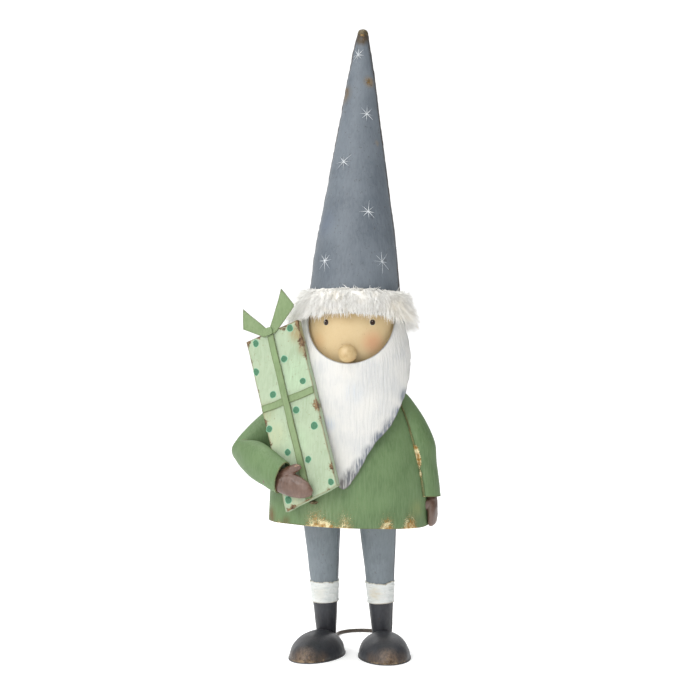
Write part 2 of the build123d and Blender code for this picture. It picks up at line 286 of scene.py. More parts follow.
def makeWearGroup():
    # Rubbed edges: Wear is bare metal, Halo is the stained paint round it.
    tree, given, out = newGroup(
        "edgeWear", "ShaderNodeTree",
        [("Rim", "NodeSocketFloat", 50.0), ("Worn", "NodeSocketFloat", 0.0),
         ("Reach", "NodeSocketFloat", 1.2),
         ("Grain", "NodeSocketFloat", 420.0)],
        [("Wear", "NodeSocketFloat"), ("Halo", "NodeSocketFloat"), ("Tone", "NodeSocketFloat")],
    )
    here = addNode(tree, "ShaderNodeTexCoord").outputs["Object"]
    coarse = addNode(tree, "ShaderNodeTexNoise",
                     {"Vector": here, "Scale": given["Grain"], "Detail": 6.0, "Roughness": 0.7})
    tone = addNode(tree, "ShaderNodeTexNoise", {"Vector": here, "Scale": 260.0, "Detail": 3.0})
    reach = times(tree, given["Reach"], plus(tree, 0.35, times(tree, given["Worn"], 4.5)))
    near = calc(tree, "DIVIDE", given["Rim"], calc(tree, "MAXIMUM", reach, 0.01))
    edge = calc(tree, "POWER", 2.718, times(tree, near, -1.0))
    rubbed = plus(tree, times(tree, calc(tree, "MINIMUM", given["Worn"], 1.2), 0.26), 0.1)
    level = plus(tree, coarse.outputs[0], times(tree, edge, rubbed))
    level = plus(tree, level, times(tree, given["Worn"], 0.07))
    stainFrom, bareFrom, bareAll = 0.57, 0.68, 0.73
    tree.links.new(band(tree, level, bareFrom, bareAll), out["Wear"])
    tree.links.new(band(tree, level, stainFrom, bareAll), out["Halo"])
    tree.links.new(band(tree, tone.outputs[0], 0.35, 0.65), out["Tone"])
    return tree


paintGroup = makePaintGroup()
wearGroup = makeWearGroup()


def paintMaterial(name, look, blots=()):
    # look: the paint's colours and finish; blots: (place, radius in mm, colour, strength)
    material = bpy.data.materials.new(name)
    material.use_nodes = True
    tree = material.node_tree
    shader = tree.nodes["Principled BSDF"]
    paint = addNode(tree, "ShaderNodeGroup", node_tree=paintGroup)
    for label, key in (("Patch Size", "patch"), ("Streak Size", "streak"), ("Stroke", "stroke"),
                       ("Turn", "turn")):
        if key in look:
            paint.inputs[label].default_value = look[key]
    colour = mixColour(tree, paint.outputs["Shade"], look["dark"], look["base"])
    streaked = times(tree, paint.outputs["Streak"], look.get("streakStrength", 0.5))
    colour = mixColour(tree, streaked, colour, look["light"])
    here = addNode(tree, "ShaderNodeTexCoord").outputs["Object"]
    strokes = times(tree, calc(tree, "POWER", paint.outputs["Streak"], look.get("dabPower", 1.0)),
                    look.get("dabGain", 1.0))
    for centre, radius, blotColour, strength in blots:
        away = addNode(tree, "ShaderNodeVectorMath", {0: here, 1: centre},
                       operation="DISTANCE").outputs["Value"]
        soft = times(tree, band(tree, away, radius * mm, radius * mm * 0.1), strength)
        dabbed = times(tree, soft, plus(tree, look.get("dabFloor", 0.45), strokes), limit=True)
        colour = mixColour(tree, dabbed, colour, blotColour)
    roughness = look.get("roughness", 0.6)
    height = times(tree, paint.outputs["Relief"], look.get("relief", 1.0))
    dryness = plus(tree, roughness - 0.08, times(tree, paint.outputs["Shade"], 0.16))
    if "wearReach" in look:
        rim = addNode(tree, "ShaderNodeAttribute", attribute_name="rim").outputs["Fac"]
        worn = addNode(tree, "ShaderNodeAttribute", attribute_name="worn").outputs["Fac"]
        wear = addNode(tree, "ShaderNodeGroup", {}, node_tree=wearGroup)
        tree.links.new(rim, wear.inputs["Rim"])
        tree.links.new(worn, wear.inputs["Worn"])
        wear.inputs["Reach"].default_value = look["wearReach"]
        wear.inputs["Grain"].default_value = look.get("wearGrain", 420.0)
        stained = times(tree, wear.outputs["Halo"], look.get("halo", 0.5))
        colour = mixColour(tree, stained, colour, look["stain"])
        # cut edges and seams carry a thin dark line where the paint is thin; on the hat it widens into a dark
        # band down both sides, partly rusty edge and partly painted shade where the cone turns away
        line = times(tree, band(tree, rim, look.get("edgeWidth", 1.1), 0.1), look.get("edgeDark", 0.6))
        line = times(tree, line, plus(tree, paint.outputs["Shade"], 0.35), limit=True)
        colour = mixColour(tree, line, colour, look.get("edgeColour", look["stain"]))
        metal = mixColour(tree, wear.outputs["Tone"], look["bareDark"], look["bareLight"])
        colour = mixColour(tree, wear.outputs["Wear"], colour, metal)
        height = minus(tree, height, times(tree, wear.outputs["Wear"], 0.6))
        shine = times(tree, wear.outputs["Wear"], look.get("shine", 0.35))
        tree.links.new(shine, shader.inputs["Metallic"])
        dryness = minus(tree, dryness, times(tree, wear.outputs["Wear"], 0.12))
    tree.links.new(colour, shader.inputs["Base Color"])
    tree.links.new(dryness, shader.inputs["Roughness"])
    bump = addNode(tree, "ShaderNodeBump",
                   {"Height": height, "Strength": look.get("bump", 0.35), "Distance": 0.0006})
    tree.links.new(bump.outputs[0], shader.inputs["Normal"])
    shader.inputs["Specular IOR Level"].default_value = look.get("specular", 0.35)
    return material


paintGain = 0.76  # how much of a chart colour's light the dry paint gives back


def tone(red, green, blue, gain=paintGain):
    # a colour as a painter's chart gives it, 0 to 255, as linear light
    linear = (((c / 255 + 0.055) / 1.055) ** 2.4 if c > 10 else c / 255 / 12.92 for c in (red, green, blue))
    return tuple(c * gain for c in linear) + (1.0,)


def placed(onto, rows):
    # marks on a piece: place, radius, perhaps a colour, and strength
    return [(onto(*place), radius, *(tone(*colour) for colour in more[:-1]), more[-1])
            for place, radius, *more in rows]


bareDark = tone(108, 66, 34)
bareGold = tone(206, 158, 84)

hatPaint = {
    "base": tone(124, 133, 142), "dark": tone(104, 113, 123), "light": tone(140, 149, 156),
    "stroke": (1, 1, 0.12),
    "streakStrength": 0.4, "roughness": 0.52, "patch": 38, "wearReach": 1.1, "stain": tone(70, 62, 56),
    # the wide dark band down the hat's sides (edgeWidth, edgeDark) is partly rusty edge, partly painted shade
    "bareDark": tone(96, 76, 50), "bareLight": tone(158, 128, 80), "halo": 0.7, "bump": 0.3, "edgeWidth": 5.0,
    "edgeDark": 0.95,
}
coatPaint = {
    "base": tone(117, 146, 99), "dark": tone(98, 126, 82), "light": tone(138, 164, 120),
    "stroke": (1, 1, 0.14),
    "streakStrength": 0.45, "roughness": 0.58, "patch": 34, "wearReach": 0.7, "stain": tone(112, 100, 56),
    "bareDark": tone(176, 132, 66), "bareLight": tone(254, 240, 190), "halo": 0.6, "bump": 0.35,
    "wearGrain": 1500,
}
beardPaint = {
    "base": tone(246, 245, 240, 0.77), "dark": tone(226, 228, 228, 0.76), "light": tone(254, 252, 246, 0.8),
    "stroke": (1, 1, 0.1),
    "streakStrength": 0.5, "roughness": 0.66, "patch": 45, "streak": 850, "wearReach": 0.5,
    "stain": tone(120, 118, 118), "bareDark": tone(96, 88, 84), "bareLight": tone(150, 140, 128),
    "halo": 0.75,
    "bump": 0.8, "relief": 1.6, "wearGrain": 600, "shine": 0.1, "dabFloor": 0.25, "dabPower": 1.3,
    "dabGain": 2.8,
}
facePaint = {
    "base": tone(238, 212, 164), "dark": tone(229, 200, 148), "light": tone(244, 222, 178),
    "stroke": (1, 1, 0.5),
    "streakStrength": 0.25, "roughness": 0.5, "patch": 30, "wearReach": 0.4, "stain": tone(150, 112, 66),
    "bareDark": bareDark, "bareLight": bareGold, "halo": 0.3, "bump": 0.12, "dabFloor": 0.8, "dabGain": 0.25,
}
giftPaint = {
    "base": tone(190, 208, 176), "dark": tone(174, 194, 160), "light": tone(206, 222, 194),
    "stroke": (1, 1, 0.15),
    "streakStrength": 0.5, "roughness": 0.56, "patch": 40, "wearReach": 1.0, "stain": tone(136, 108, 70),
    "bareDark": tone(86, 62, 44), "bareLight": tone(158, 128, 92), "halo": 0.55, "bump": 0.35, "shine": 0.15,
}
ribbonPaint = {
    "base": tone(146, 169, 122), "dark": tone(130, 154, 106), "light": tone(162, 183, 140),
    "stroke": (1, 1, 0.2),
    "streakStrength": 0.45, "roughness": 0.56, "patch": 60, "wearReach": 0.45, "stain": tone(96, 102, 62),
    "bareDark": bareDark, "bareLight": tone(190, 160, 100), "halo": 0.5, "bump": 0.3,
}
mittenPaint = {
    "base": tone(112, 82, 66), "dark": tone(88, 62, 49), "light": tone(146, 114, 95), "stroke": (1, 1, 0.35),
    "streakStrength": 0.4, "roughness": 0.36, "specular": 0.8, "patch": 70, "wearReach": 0.8,
    "stain": tone(60, 40, 32),
    "bareDark": tone(150, 112, 88), "bareLight": tone(186, 150, 120), "halo": 0.4, "bump": 0.3,
}
legPaint = {
    "base": tone(138, 148, 155), "dark": tone(120, 130, 137), "light": tone(156, 165, 170),
    "stroke": (1, 1, 0.15),
    "streakStrength": 0.4, "roughness": 0.55, "patch": 50, "wearReach": 0.5, "stain": tone(70, 70, 70),
    "bareDark": bareDark, "bareLight": tone(160, 130, 90), "halo": 0.5, "bump": 0.3,
}
sockPaint = {
    "base": tone(244, 248, 247, 0.82), "dark": tone(228, 234, 232, 0.8), "light": tone(254, 254, 250, 0.86),
    "stroke": (0.25, 0.25, 1),
    "turn": (0, 0.4, 0), "streakStrength": 0.6, "roughness": 0.6, "patch": 90, "streak": 600, "bump": 0.9,
    "relief": 1.6, "wearReach": 0.35, "stain": tone(190, 178, 150), "bareDark": tone(170, 150, 118),
    "bareLight": tone(214, 200, 168), "halo": 0.5, "shine": 0.0,
}
bootPaint = {
    "base": tone(66, 68, 73), "dark": tone(52, 53, 58), "light": tone(84, 86, 91), "stroke": (1, 1, 0.4),
    "streakStrength": 0.4, "roughness": 0.4, "patch": 55, "wearReach": 0.6, "stain": tone(70, 58, 46),
    "bareDark": tone(92, 74, 58), "bareLight": tone(168, 146, 118), "halo": 0.5, "bump": 0.3, "shine": 0.5,
}


view = {"x": 132.75, "y": -1263.04, "z": 242.9, "turn": 6.0, "lens": 81.64, "floorSize": 30.0,
        "horizon": 1.12, "dimRight": 1.0, "dimLeft": 0.55, "tableGlow": 0.3}


def makeStudio():
    lens = bpy.data.cameras.new("camera")
    lens.lens = view["lens"]
    lens.sensor_width = 36
    lens.clip_end = 50
    eye = newObject("camera", lens)
    eye.location = onFloor(view["x"], view["y"], view["z"])
    eye.rotation_euler = (math.radians(90), 0, math.radians(view["turn"]))
    bpy.context.scene.camera = eye

    lamps = (
        # name, place, size, power, colour
        ("softKey", (-1.3, -2.2, 1.7), 1.3, 25, (1.0, 0.99, 0.98)),
        ("softTop", (-0.2, 0.2, 2.6), 2.4, 34, (1.0, 1.0, 1.0)),
    )
    for name, place, size, power, colour in lamps:
        light = bpy.data.lights.new(name, "AREA")
        light.shape = "SQUARE"
        light.size = size
        light.energy = power
        light.color = colour
        lamp = newObject(name, light)
        lamp.location = place
        lamp.rotation_euler = (Vector((0, 0, 0.24)) - Vector(place)).to_track_quat("-Z", "Y").to_euler()

    world = bpy.data.worlds.new("paleRoom")
    bpy.context.scene.world = world
    world.use_nodes = True
    # a pale room with its windows at the front left: both sides are dimmer than the back, the right one most
    room = world.node_tree
    toward = addNode(room, "ShaderNodeSeparateXYZ",
                     {0: addNode(room, "ShaderNodeTexCoord").outputs["Generated"]}).outputs
    dim = plus(room, times(room, band(room, toward[0], 0.16, 0.6), view["dimRight"]),
               times(room, band(room, toward[0], -0.38, -0.9), view["dimLeft"]))
    # the backdrop itself stays white from every side
    straight = addNode(room, "ShaderNodeLightPath").outputs["Is Camera Ray"]
    glow = minus(room, view["horizon"], times(room, dim, minus(room, 1.0, straight)))
    room.links.new(glow, room.nodes["Background"].inputs[1])
    room.nodes["Background"].inputs[0].default_value = (1.0, 1.0, 1.0, 1.0)
    bpy.context.scene.view_settings.view_transform = "Standard"

    reach = view["floorSize"]
    floor = newObject("paleFloor", meshOf(
        "paleFloor", [(-reach, -reach, 0), (reach, -reach, 0), (reach, reach, 0), (-reach, reach, 0)],
        [(0, 1, 2, 3)],
    ))
    for face in floor.data.polygons:
        face.use_smooth = True
    material = bpy.data.materials.new("paleFloor")
    material.use_nodes = True
    tree = material.node_tree
    shader = tree.nodes["Principled BSDF"]
    here = addNode(tree, "ShaderNodeTexCoord").outputs["Object"]
    dust = addNode(tree, "ShaderNodeTexNoise", {"Vector": here, "Scale": 3.0, "Detail": 3.0})
    colour = mixColour(tree, dust.outputs[0], tone(250, 250, 250, 1.0), tone(254, 254, 254, 1.0))
    tree.links.new(colour, shader.inputs["Base Color"])
    shader.inputs["Roughness"].default_value = 0.9
    shader.inputs["Specular IOR Level"].default_value = 0.1
    # a lit tabletop: white out to the horizon
    shader.inputs["Emission Color"].default_value = (1.0, 1.0, 1.0, 1.0)
    shader.inputs["Emission Strength"].default_value = view["tableGlow"]
    floor.data.materials.append(material)


makeStudio()
print("camera, light and floor")


coat = {"halfWidth": 64.0, "halfDepth": 45.0, "height": 112.0, "taper": 150.0, "power": 2.5, "dent": 0.55,
        "wave": 0.7}


def coatSize(w):
    narrowing = 1 - (max(w, 0) / coat["taper"]) ** coat["power"]
    return coat["halfWidth"] * narrowing, coat["halfDepth"] * narrowing


def offCoat(x, y, w, gap):
    # a point of a piece that lies on the coat is kept outside it
    if w > coat["height"] + 4:
        return x, y
    halfWidth, halfDepth = coatSize(min(w, coat["height"]))
    halfWidth, halfDepth = halfWidth + gap, halfDepth + gap
    depth = math.hypot(x / halfWidth, y / halfDepth)
    if depth >= 1 or depth < 1e-6:
        return x, y
    return x / depth, y / depth


def makeCoat():
    def place(u, v):
        angle = 2 * math.pi * u
        w = coat["height"] * v
        halfWidth, halfDepth = coatSize(w)
        # the hem was cut by hand: it wanders a little
        w += (1 - v) ** 8 * coat["wave"] * rough(math.cos(angle) * 2.2, math.sin(angle) * 2.2, 0, 3)
        return onBody(halfWidth * math.cos(angle), halfDepth * math.sin(angle), w)

    def relief(u, v, at):
        beaten = (coat["dent"] * rough(at.x / 26, at.y / 26, at.z / 26, 1) + 0.16
                  * rough(at.x / 7, at.y / 7, at.z / 7, 2))
        fromSide = min(abs(u), abs(u - 0.5), abs(u - 1)) * 2 * math.pi * coat["halfWidth"] * 0.75
        lap = 0.45 * math.exp(-((fromSide / 1.3) ** 2))
        return (beaten - 0.15) * smooth((1 - v) * 9) + lap

    piece = gridSheet("coat", 200, 100, place, closed=True, relief=relief)
    thicken(piece, 0.8, 0.12)
    seams = [onBody(side * coatSize(w)[0], 0, w) for side in (-1, 1) for w in range(0, 112, 2)]
    spots = placed(onBody, [
        ((-22, -43, 9), 17, 1.5), ((-12, -44, 2), 9, 1.0), ((2, -45, 8), 15, 1.3),
        ((34, -37, 6), 12, 1.4), ((51, -26, 6), 14, 1.5), ((-52, -26, 3), 9, 0.6),
        ((-63, -4, 6), 10, 0.8), ((0, 45, 3), 14, 1.2), ((-38, 36, 3), 10, 1.1),
        ((44, 32, 4), 11, 1.2), ((64, 3, 2), 9, 0.7), ((12, -45, 18), 8, 0.7),
        ((60, -14, 6), 8, 0.7),
    ])
    markEdges(piece, seams, spots)
    blots = placed(onBody, [
        ((-20, -43, 15), 26, (150, 172, 128), 0.55), ((-58, -14, 4), 12, (118, 84, 42), 0.75),
        # the two dark greens on the right side, under the left sleeve's front edge, are painted shade
        ((-45, -30, 2), 7, (112, 84, 46), 0.6), ((62, -10, 30), 9, (84, 92, 56), 0.5),
        ((56, -22, 14), 12, (146, 158, 100), 0.5), ((60, -6, 62), 12, (74, 96, 60), 0.6),
    ])
    finishPiece(piece, paintMaterial("coatPaint", coatPaint, blots), "coat_paint", "coat")


makeCoat()
print("coat")


head = {
    "levels": ((112.8, 33, 27), (124, 38, 34), (138, 40, 37.6), (152, 39.8, 37.2), (168, 37.6, 34.6),
               (182, 34.5, 31.5)),
    "noseRadius": 7.4, "noseForward": 43.0, "noseLevel": 135.0,
    "eyes": ((-18.8, 158.7), (17.7, 159.7)), "eyeWidth": 2.0, "eyeHeight": 2.35,
}


def onHead(x, w, lift=0.0):
    # a point on the front of the head
    halfWidth, halfDepth = along(head["levels"], w)
    y = -halfDepth * math.sqrt(max(0.0, 1 - (x / halfWidth) ** 2))
    normal = Vector((x / halfWidth ** 2, y / halfDepth ** 2, 0)).normalized()
    return onBody(x + normal.x * lift, y + normal.y * lift, w)


def makeHead():
    blushHairAndShade = placed(onHead, [
        ((18.5, 144.0), 13, (228, 160, 120), 0.68), ((-24.0, 144.0), 9.0, (232, 182, 128), 0.36),
        # the darker tan over the brow, under the fur's overhang, is painted shade
        ((-2.0, 176.0), 24, (216, 182, 120), 0.4),
    ])
    # the hair is painted on round the temples
    blushHairAndShade += [(onHead(side * along(head["levels"], w)[0], w, -2.0), 15, tone(236, 238, 236), 2.2)
               for side in (-1, 1) for w in (114, 124, 134, 144, 154, 164, 174)]
    faceMaterial = paintMaterial("facePaint", facePaint, blushHairAndShade)
    hairMaterial = paintMaterial("hairPaint", beardPaint)
    for name, start, material, slot, node in (
        ("faceShell", math.pi, faceMaterial, "face_paint", "face_shell"),
        ("headBackShell", 0.0, hairMaterial, "hair_paint", "head_back_shell"),
    ):
        def place(u, v, start=start):
            w = head["levels"][0][0] + v * (head["levels"][-1][0] - head["levels"][0][0])
            halfWidth, halfDepth = along(head["levels"], w)
            angle = start + math.pi * u
            return onBody(halfWidth * math.cos(angle), halfDepth * math.sin(angle), w)

        def relief(u, v, at):
            return 0.22 * rough(at.x / 16, at.y / 16, at.z / 16, 4) * math.sin(math.pi * u)

        piece = gridSheet(name, 90, 60, place, relief=relief)
        thicken(piece, 0.8)
        markEdges(piece)
        finishPiece(piece, material, slot, node)

    # the nose: a beaten ball, a little wider than it is tall
    ball = bmesh.new()
    bmesh.ops.create_icosphere(ball, subdivisions=5, radius=1.0)
    middle = onBody(0, -head["noseForward"], head["noseLevel"])
    for vertex in ball.verts:
        at = vertex.co.copy()
        radius = head["noseRadius"] * (1 + 0.022 * rough(at.x * 2, at.y * 2, at.z * 2, 5))
        vertex.co = middle + (axisRight * at.x * 1.03 + axisBack * at.y + axisUp * at.z * 0.96) * radius * mm
    mesh = bpy.data.meshes.new("nose")
    ball.to_mesh(mesh)
    ball.free()
    nose = newObject("nose", mesh)
    markEdges(nose, [onHead(x * 0.5, head["noseLevel"] + z * 0.5, 0.2) for x in range(-12, 13)
                     for z in (-13, 13)])
    # painted light on the nose: a painted highlight at its upper front left, and painted shade under it at
    # the lower right
    blots = [(onBody(-2, -50.4, 137), 5, tone(240, 214, 168), 0.8),
             (onBody(3, -44, 129), 8, tone(190, 152, 98), 0.6)]
    finishPiece(nose, paintMaterial("nosePaint", facePaint | {
        "base": tone(218, 190, 138), "dark": tone(203, 170, 116), "light": tone(236, 214, 168), "bump": 0.25,
        "streakStrength": 0.4, "patch": 120,
    }, blots), "face_paint", "nose")


makeHead()


def makeEyes():
    # each eye: an off-white dab, a dark brown oval on it and a tiny highlight
    def lens(name, colours, roughness, discs):
        points, faces = [], []
        rings, around = 5, 28
        for x, w, halfWidth, halfHeight, low, high in discs:
            first = len(points)
            points.append(onHead(x, w, high))
            for ring in range(1, rings + 1):
                t = ring / rings
                for step in range(around):
                    angle = 2 * math.pi * step / around
                    edge = 1 + 0.07 * rough(math.cos(angle) * 1.5, math.sin(angle) * 1.5, x + w, 6)
                    lift = low + (high - low) * math.sqrt(max(0.0, 1 - t * t)) if ring < rings else low
                    points.append(onHead(x + halfWidth * t * edge * math.cos(angle),
                                         w + halfHeight * t * edge * math.sin(angle), lift))
            for step in range(around):
                after = (step + 1) % around
                faces.append((first, first + 1 + step, first + 1 + after))
                for ring in range(rings - 1):
                    a = first + 1 + ring * around
                    faces.append((a + step, a + around + step, a + around + after, a + after))
        piece = newObject(name, meshOf(name, points, faces))
        material = bpy.data.materials.new(name)
        material.use_nodes = True
        tree = material.node_tree
        shader = tree.nodes["Principled BSDF"]
        here = addNode(tree, "ShaderNodeTexCoord").outputs["Object"]
        dabs = addNode(tree, "ShaderNodeTexNoise", {"Vector": here, "Scale": 900.0, "Detail": 3.0})
        tree.links.new(mixColour(tree, dabs.outputs[0], *colours), shader.inputs["Base Color"])
        shader.inputs["Roughness"].default_value = roughness
        piece.data.materials.append(material)
        finishPiece(piece, None, "face_paint")

    width, height = head["eyeWidth"], head["eyeHeight"]
    whites = [(x, w - 0.1, width * 1.12, height * 1.1, -0.1, 0.22) for x, w in head["eyes"]]
    darks = [(x, w, width, height, 0.0, 0.5) for x, w in head["eyes"]]
    glints = [(x - 0.35, w + 0.75, 0.3, 0.3, 0.3, 0.62) for x, w in head["eyes"]]
    lens("eyeWhites", (tone(226, 214, 186), tone(240, 230, 204)), 0.5, whites)
    lens("eyes", (tone(44, 28, 22), tone(66, 44, 32)), 0.3, darks)
    lens("eyeGlints", (tone(226, 218, 206), tone(240, 236, 228)), 0.4, glints)


makeEyes()
print("head")


beard = {
    # level, middle y, half width, half depth of the ovals the sheet is bent round
    "ovals": ((22, -35.8, 28, 10.5), (60, -28.8, 34, 16.6), (90, -17, 45, 28), (125, -6.5, 48.6, 38),
              (150, -2.5, 44.8, 38.8), (172, 0, 37.4, 34.4)),
    # level and half width of its cut outline, from the tip up
    "outline": ((30, 0.0), (31.2, 2.6), (36, 6.5), (46, 12.5), (65, 22.5), (79, 34), (102, 43.4), (124, 47),
                (142, 45.4),
                (154, 42.4), (171, 37.6)),
    "faceLevel": 162.0, "faceRadius": 34.6, "top": 171.0,
}


def onBeard(x, w):
    middleY, halfWidth, halfDepth = along(beard["ovals"], w)
    return onBody(x, middleY - halfDepth * math.sqrt(max(0.0, 1 - (x / halfWidth) ** 2)), w)


def makeBeard():
    # the outline as a smooth run of points from the left top, round the tip, to the right top
    half = []
    for index in range(120):
        w = 30 + (beard["top"] - 30) * (index / 119) ** 1.35
        half.append((max(0.0, along(beard["outline"], w)[0]) if index else 0.0, w))
    outer = [(-x, w) for x, w in reversed(half)] + half[1:]
    lengths = [0.0]
    for (x0, w0), (x1, w1) in zip(outer, outer[1:]):
        lengths.append(lengths[-1] + math.hypot(x1 - x0, w1 - w0))
    opening = math.radians(15)

    def place(u, v):
        turn = math.pi - opening + u * (math.pi + 2 * opening)
        inner = (beard["faceRadius"] * math.cos(turn), beard["faceLevel"] + beard["faceRadius"]
                 * math.sin(turn))
        # the outline is met evenly in length, drawn towards the tip in the middle
        target = lengths[-1] * u
        index = min(len(lengths) - 2,
                    max(0, next((i for i, d in enumerate(lengths) if d > target), len(lengths) - 1) - 1))
        t = (target - lengths[index]) / max(1e-6, lengths[index + 1] - lengths[index])
        ox = outer[index][0] + (outer[index + 1][0] - outer[index][0]) * t
        ow = outer[index][1] + (outer[index + 1][1] - outer[index][1]) * t
        wobble = 0.7 * rough(ox / 5, ow / 5, 0, 8) * v ** 6
        x = inner[0] + (ox - inner[0]) * v + wobble
        w = inner[1] + (ow - inner[1]) * v + wobble * 0.4
        return onBeard(x, w)

    def relief(u, v, at):
        strokes = (rough(at.x / 1.6, at.y / 1.6, at.z / 15, 9) * 0.22
                   + rough(at.x / 0.8, at.y / 0.8, at.z / 7, 10) * 0.1)
        return strokes + 0.5 * rough(at.x / 20, at.y / 20, at.z / 20, 11)

    piece = gridSheet("beard", 300, 90, place, relief=relief)
    flipOutward(piece, onBody(0, 0, 110))
    thicken(piece, 0.9, 0.12)
    markEdges(piece, (), [(onBody(0, -42, 32), 9, 1.8)], base=-1.2)
    greys = placed(onBody, [
        ((0, -43, 33), 9, (132, 128, 128), 0.9), ((7, -44, 40), 10, (128, 130, 134), 0.9),
        ((13, -42, 48), 10, (134, 140, 149), 0.9), ((20, -40, 58), 10, (130, 137, 147), 0.9),
        ((27, -38, 68), 11, (126, 134, 146), 0.9), ((34, -34, 78), 11, (134, 141, 152), 0.85),
        ((39, -29, 88), 10, (140, 150, 166), 0.8), ((44, -24, 102), 10, (150, 158, 166), 0.75),
        ((45, -14, 122), 9, (190, 192, 186), 0.6), ((43, -8, 142), 9, (196, 196, 186), 0.5),
        ((-11, -43, 46), 9, (150, 156, 168), 0.7), ((-17, -43, 60), 9, (168, 176, 190), 0.6),
        ((-26, -37, 74), 10, (180, 188, 202), 0.6),
        ((-14, -48, 80), 10, (214, 224, 236), 0.5), ((6, -50, 104), 14, (226, 232, 238), 0.4),
    ])
    material = paintMaterial("beardPaint", beardPaint, greys)
    finishPiece(piece, material, "hair_paint", "beard")


def flipOutward(piece, centre):
    # turns an open sheet so that its faces look away from a point inside it
    mesh = piece.data
    facing = sum((face.center - centre).dot(face.normal) * face.area for face in mesh.polygons)
    if facing < 0:
        mesh.flip_normals()


makeBeard()
print("beard")


hat = {
    "side": ((0, 36.8), (8, 36.0), (40.7, 32.8), (107.7, 22.4), (195.2, 8.9), (219, 4.4)),
    "level": 176.0, "beadAt": 220.2, "beadRadius": 4.5, "dent": 0.5,
}
hatFoot = onBody(0, 0, hat["level"])
hatUp = (middleOf("hat_tip_bead") - hatFoot).normalized()
hatRight = (axisRight - hatUp * axisRight.dot(hatUp)).normalized()
hatBack = hatUp.cross(hatRight)


def roundHat(angle, radius, s):
    return hatFoot + (hatRight * math.sin(angle) - hatBack * math.cos(angle)) * radius * mm + hatUp * s * mm


def onHat(angle, s, lift=0.0):
    # angle from the front towards the right, in radians; s along the hat from its rim
    radius = along(hat["side"], s)[0] + lift
    return roundHat(angle, radius, s)


def makeHat():
    def place(u, v):
        return onHat(2 * math.pi * u - math.pi, hat["side"][-1][0] * v)

    def relief(u, v, at):
        dents = (hat["dent"] * rough(at.x / 15, at.y / 15, at.z / 20, 12) + 0.13
                 * rough(at.x / 5, at.y / 5, at.z / 6, 13))
        fromSide = abs(abs(u - 0.5) - 0.232) * 2 * math.pi * along(hat["side"], v * 219)[0]
        lap = 0.4 * math.exp(-((fromSide / 1.1) ** 2))
        hammered = 0.35 * rough(at.x / 3, at.y / 3, at.z / 4.5, 14) * math.exp(-((fromSide / 3.5) ** 2))
        return dents - 0.1 + lap + hammered

    piece = gridSheet("hatCone", 150, 200, place, closed=True, relief=relief)
    thicken(piece, 0.8)
    # lines down both sides of the cone, along its laps; the dark band of rusty edge and painted shade follows
    # them
    seams = [onHat(side * 1.46, s) for side in (-1, 1) for s in range(0, 219, 1)]
    spots = placed(onHat, [
        ((0.63, 178), 8, 1.1), ((-1.05, 172), 7, 0.9), ((-0.81, 158), 6, 0.7), ((0.92, 127), 4.5, 0.9),
        ((0, 216), 8, 0.6), ((3.1, 214), 9, 1.5), ((2.4, 120), 10, 0.9), ((-2.5, 60), 9, 0.9),
        ((1.35, 14), 6, 0.5), ((-2.0, 180), 8, 0.8),
    ])
    markEdges(piece, seams, spots)
    blots = placed(onHat, [
        ((0, 217), 11, (90, 78, 62), 1.4), ((3.1, 217), 9, (98, 80, 56), 1.0),
        ((0.7, 178), 7, (156, 128, 82), 0.7), ((-1.15, 168), 11, (120, 104, 80), 0.8),
        ((0.92, 127), 4, (150, 140, 128), 0.6), ((-0.9, 60), 16, (112, 124, 144), 0.4),
    ])
    finishPiece(piece, paintMaterial("hatPaint", hatPaint, blots), "hat_paint", "hat_cone")

    # the bead: a blob of braze run over the tip
    blob = bmesh.new()
    bmesh.ops.create_icosphere(blob, subdivisions=4, radius=1.0)
    middle = hatFoot + hatUp * hat["beadAt"] * mm
    for vertex in blob.verts:
        at = vertex.co.copy()
        radius = hat["beadRadius"] * (1 + 0.07 * rough(at.x * 1.6, at.y * 1.6, at.z * 1.6, 15))
        vertex.co = (middle + (hatRight * at.x + hatBack * at.y + hatUp * at.z
                               * (0.95 if at.z > 0 else 1.25)) * radius * mm)
    mesh = bpy.data.meshes.new("hatTipBead")
    blob.to_mesh(mesh)
    blob.free()
    bead = newObject("hatTipBead", mesh)
    finishPiece(bead, brazeMaterial("hatBraze"), "braze", "hat_tip_bead")


def brazeMaterial(name):
    material = bpy.data.materials.new(name)
    material.use_nodes = True
    tree = material.node_tree
    shader = tree.nodes["Principled BSDF"]
    here = addNode(tree, "ShaderNodeTexCoord").outputs["Object"]
    broad = addNode(tree, "ShaderNodeTexNoise",
                    {"Vector": here, "Scale": 320.0, "Detail": 5.0, "Roughness": 0.65})
    pits = addNode(tree, "ShaderNodeTexNoise", {"Vector": here, "Scale": 1500.0, "Detail": 3.0})
    colour = mixColour(tree, band(tree, broad.outputs[0], 0.35, 0.65), tone(88, 78, 58), tone(128, 114, 84))
    colour = mixColour(tree, band(tree, pits.outputs[0], 0.55, 0.7), colour, tone(60, 48, 38))
    tree.links.new(colour, shader.inputs["Base Color"])
    tree.links.new(band(tree, broad.outputs[0], 0.3, 0.8), shader.inputs["Metallic"])
    shader.inputs["Roughness"].default_value = 0.46
    bump = addNode(tree, "ShaderNodeBump", {"Height": pits.outputs[0], "Strength": 0.5, "Distance": 0.0006})
    tree.links.new(bump.outputs[0], shader.inputs["Normal"])
    return material


makeHat()


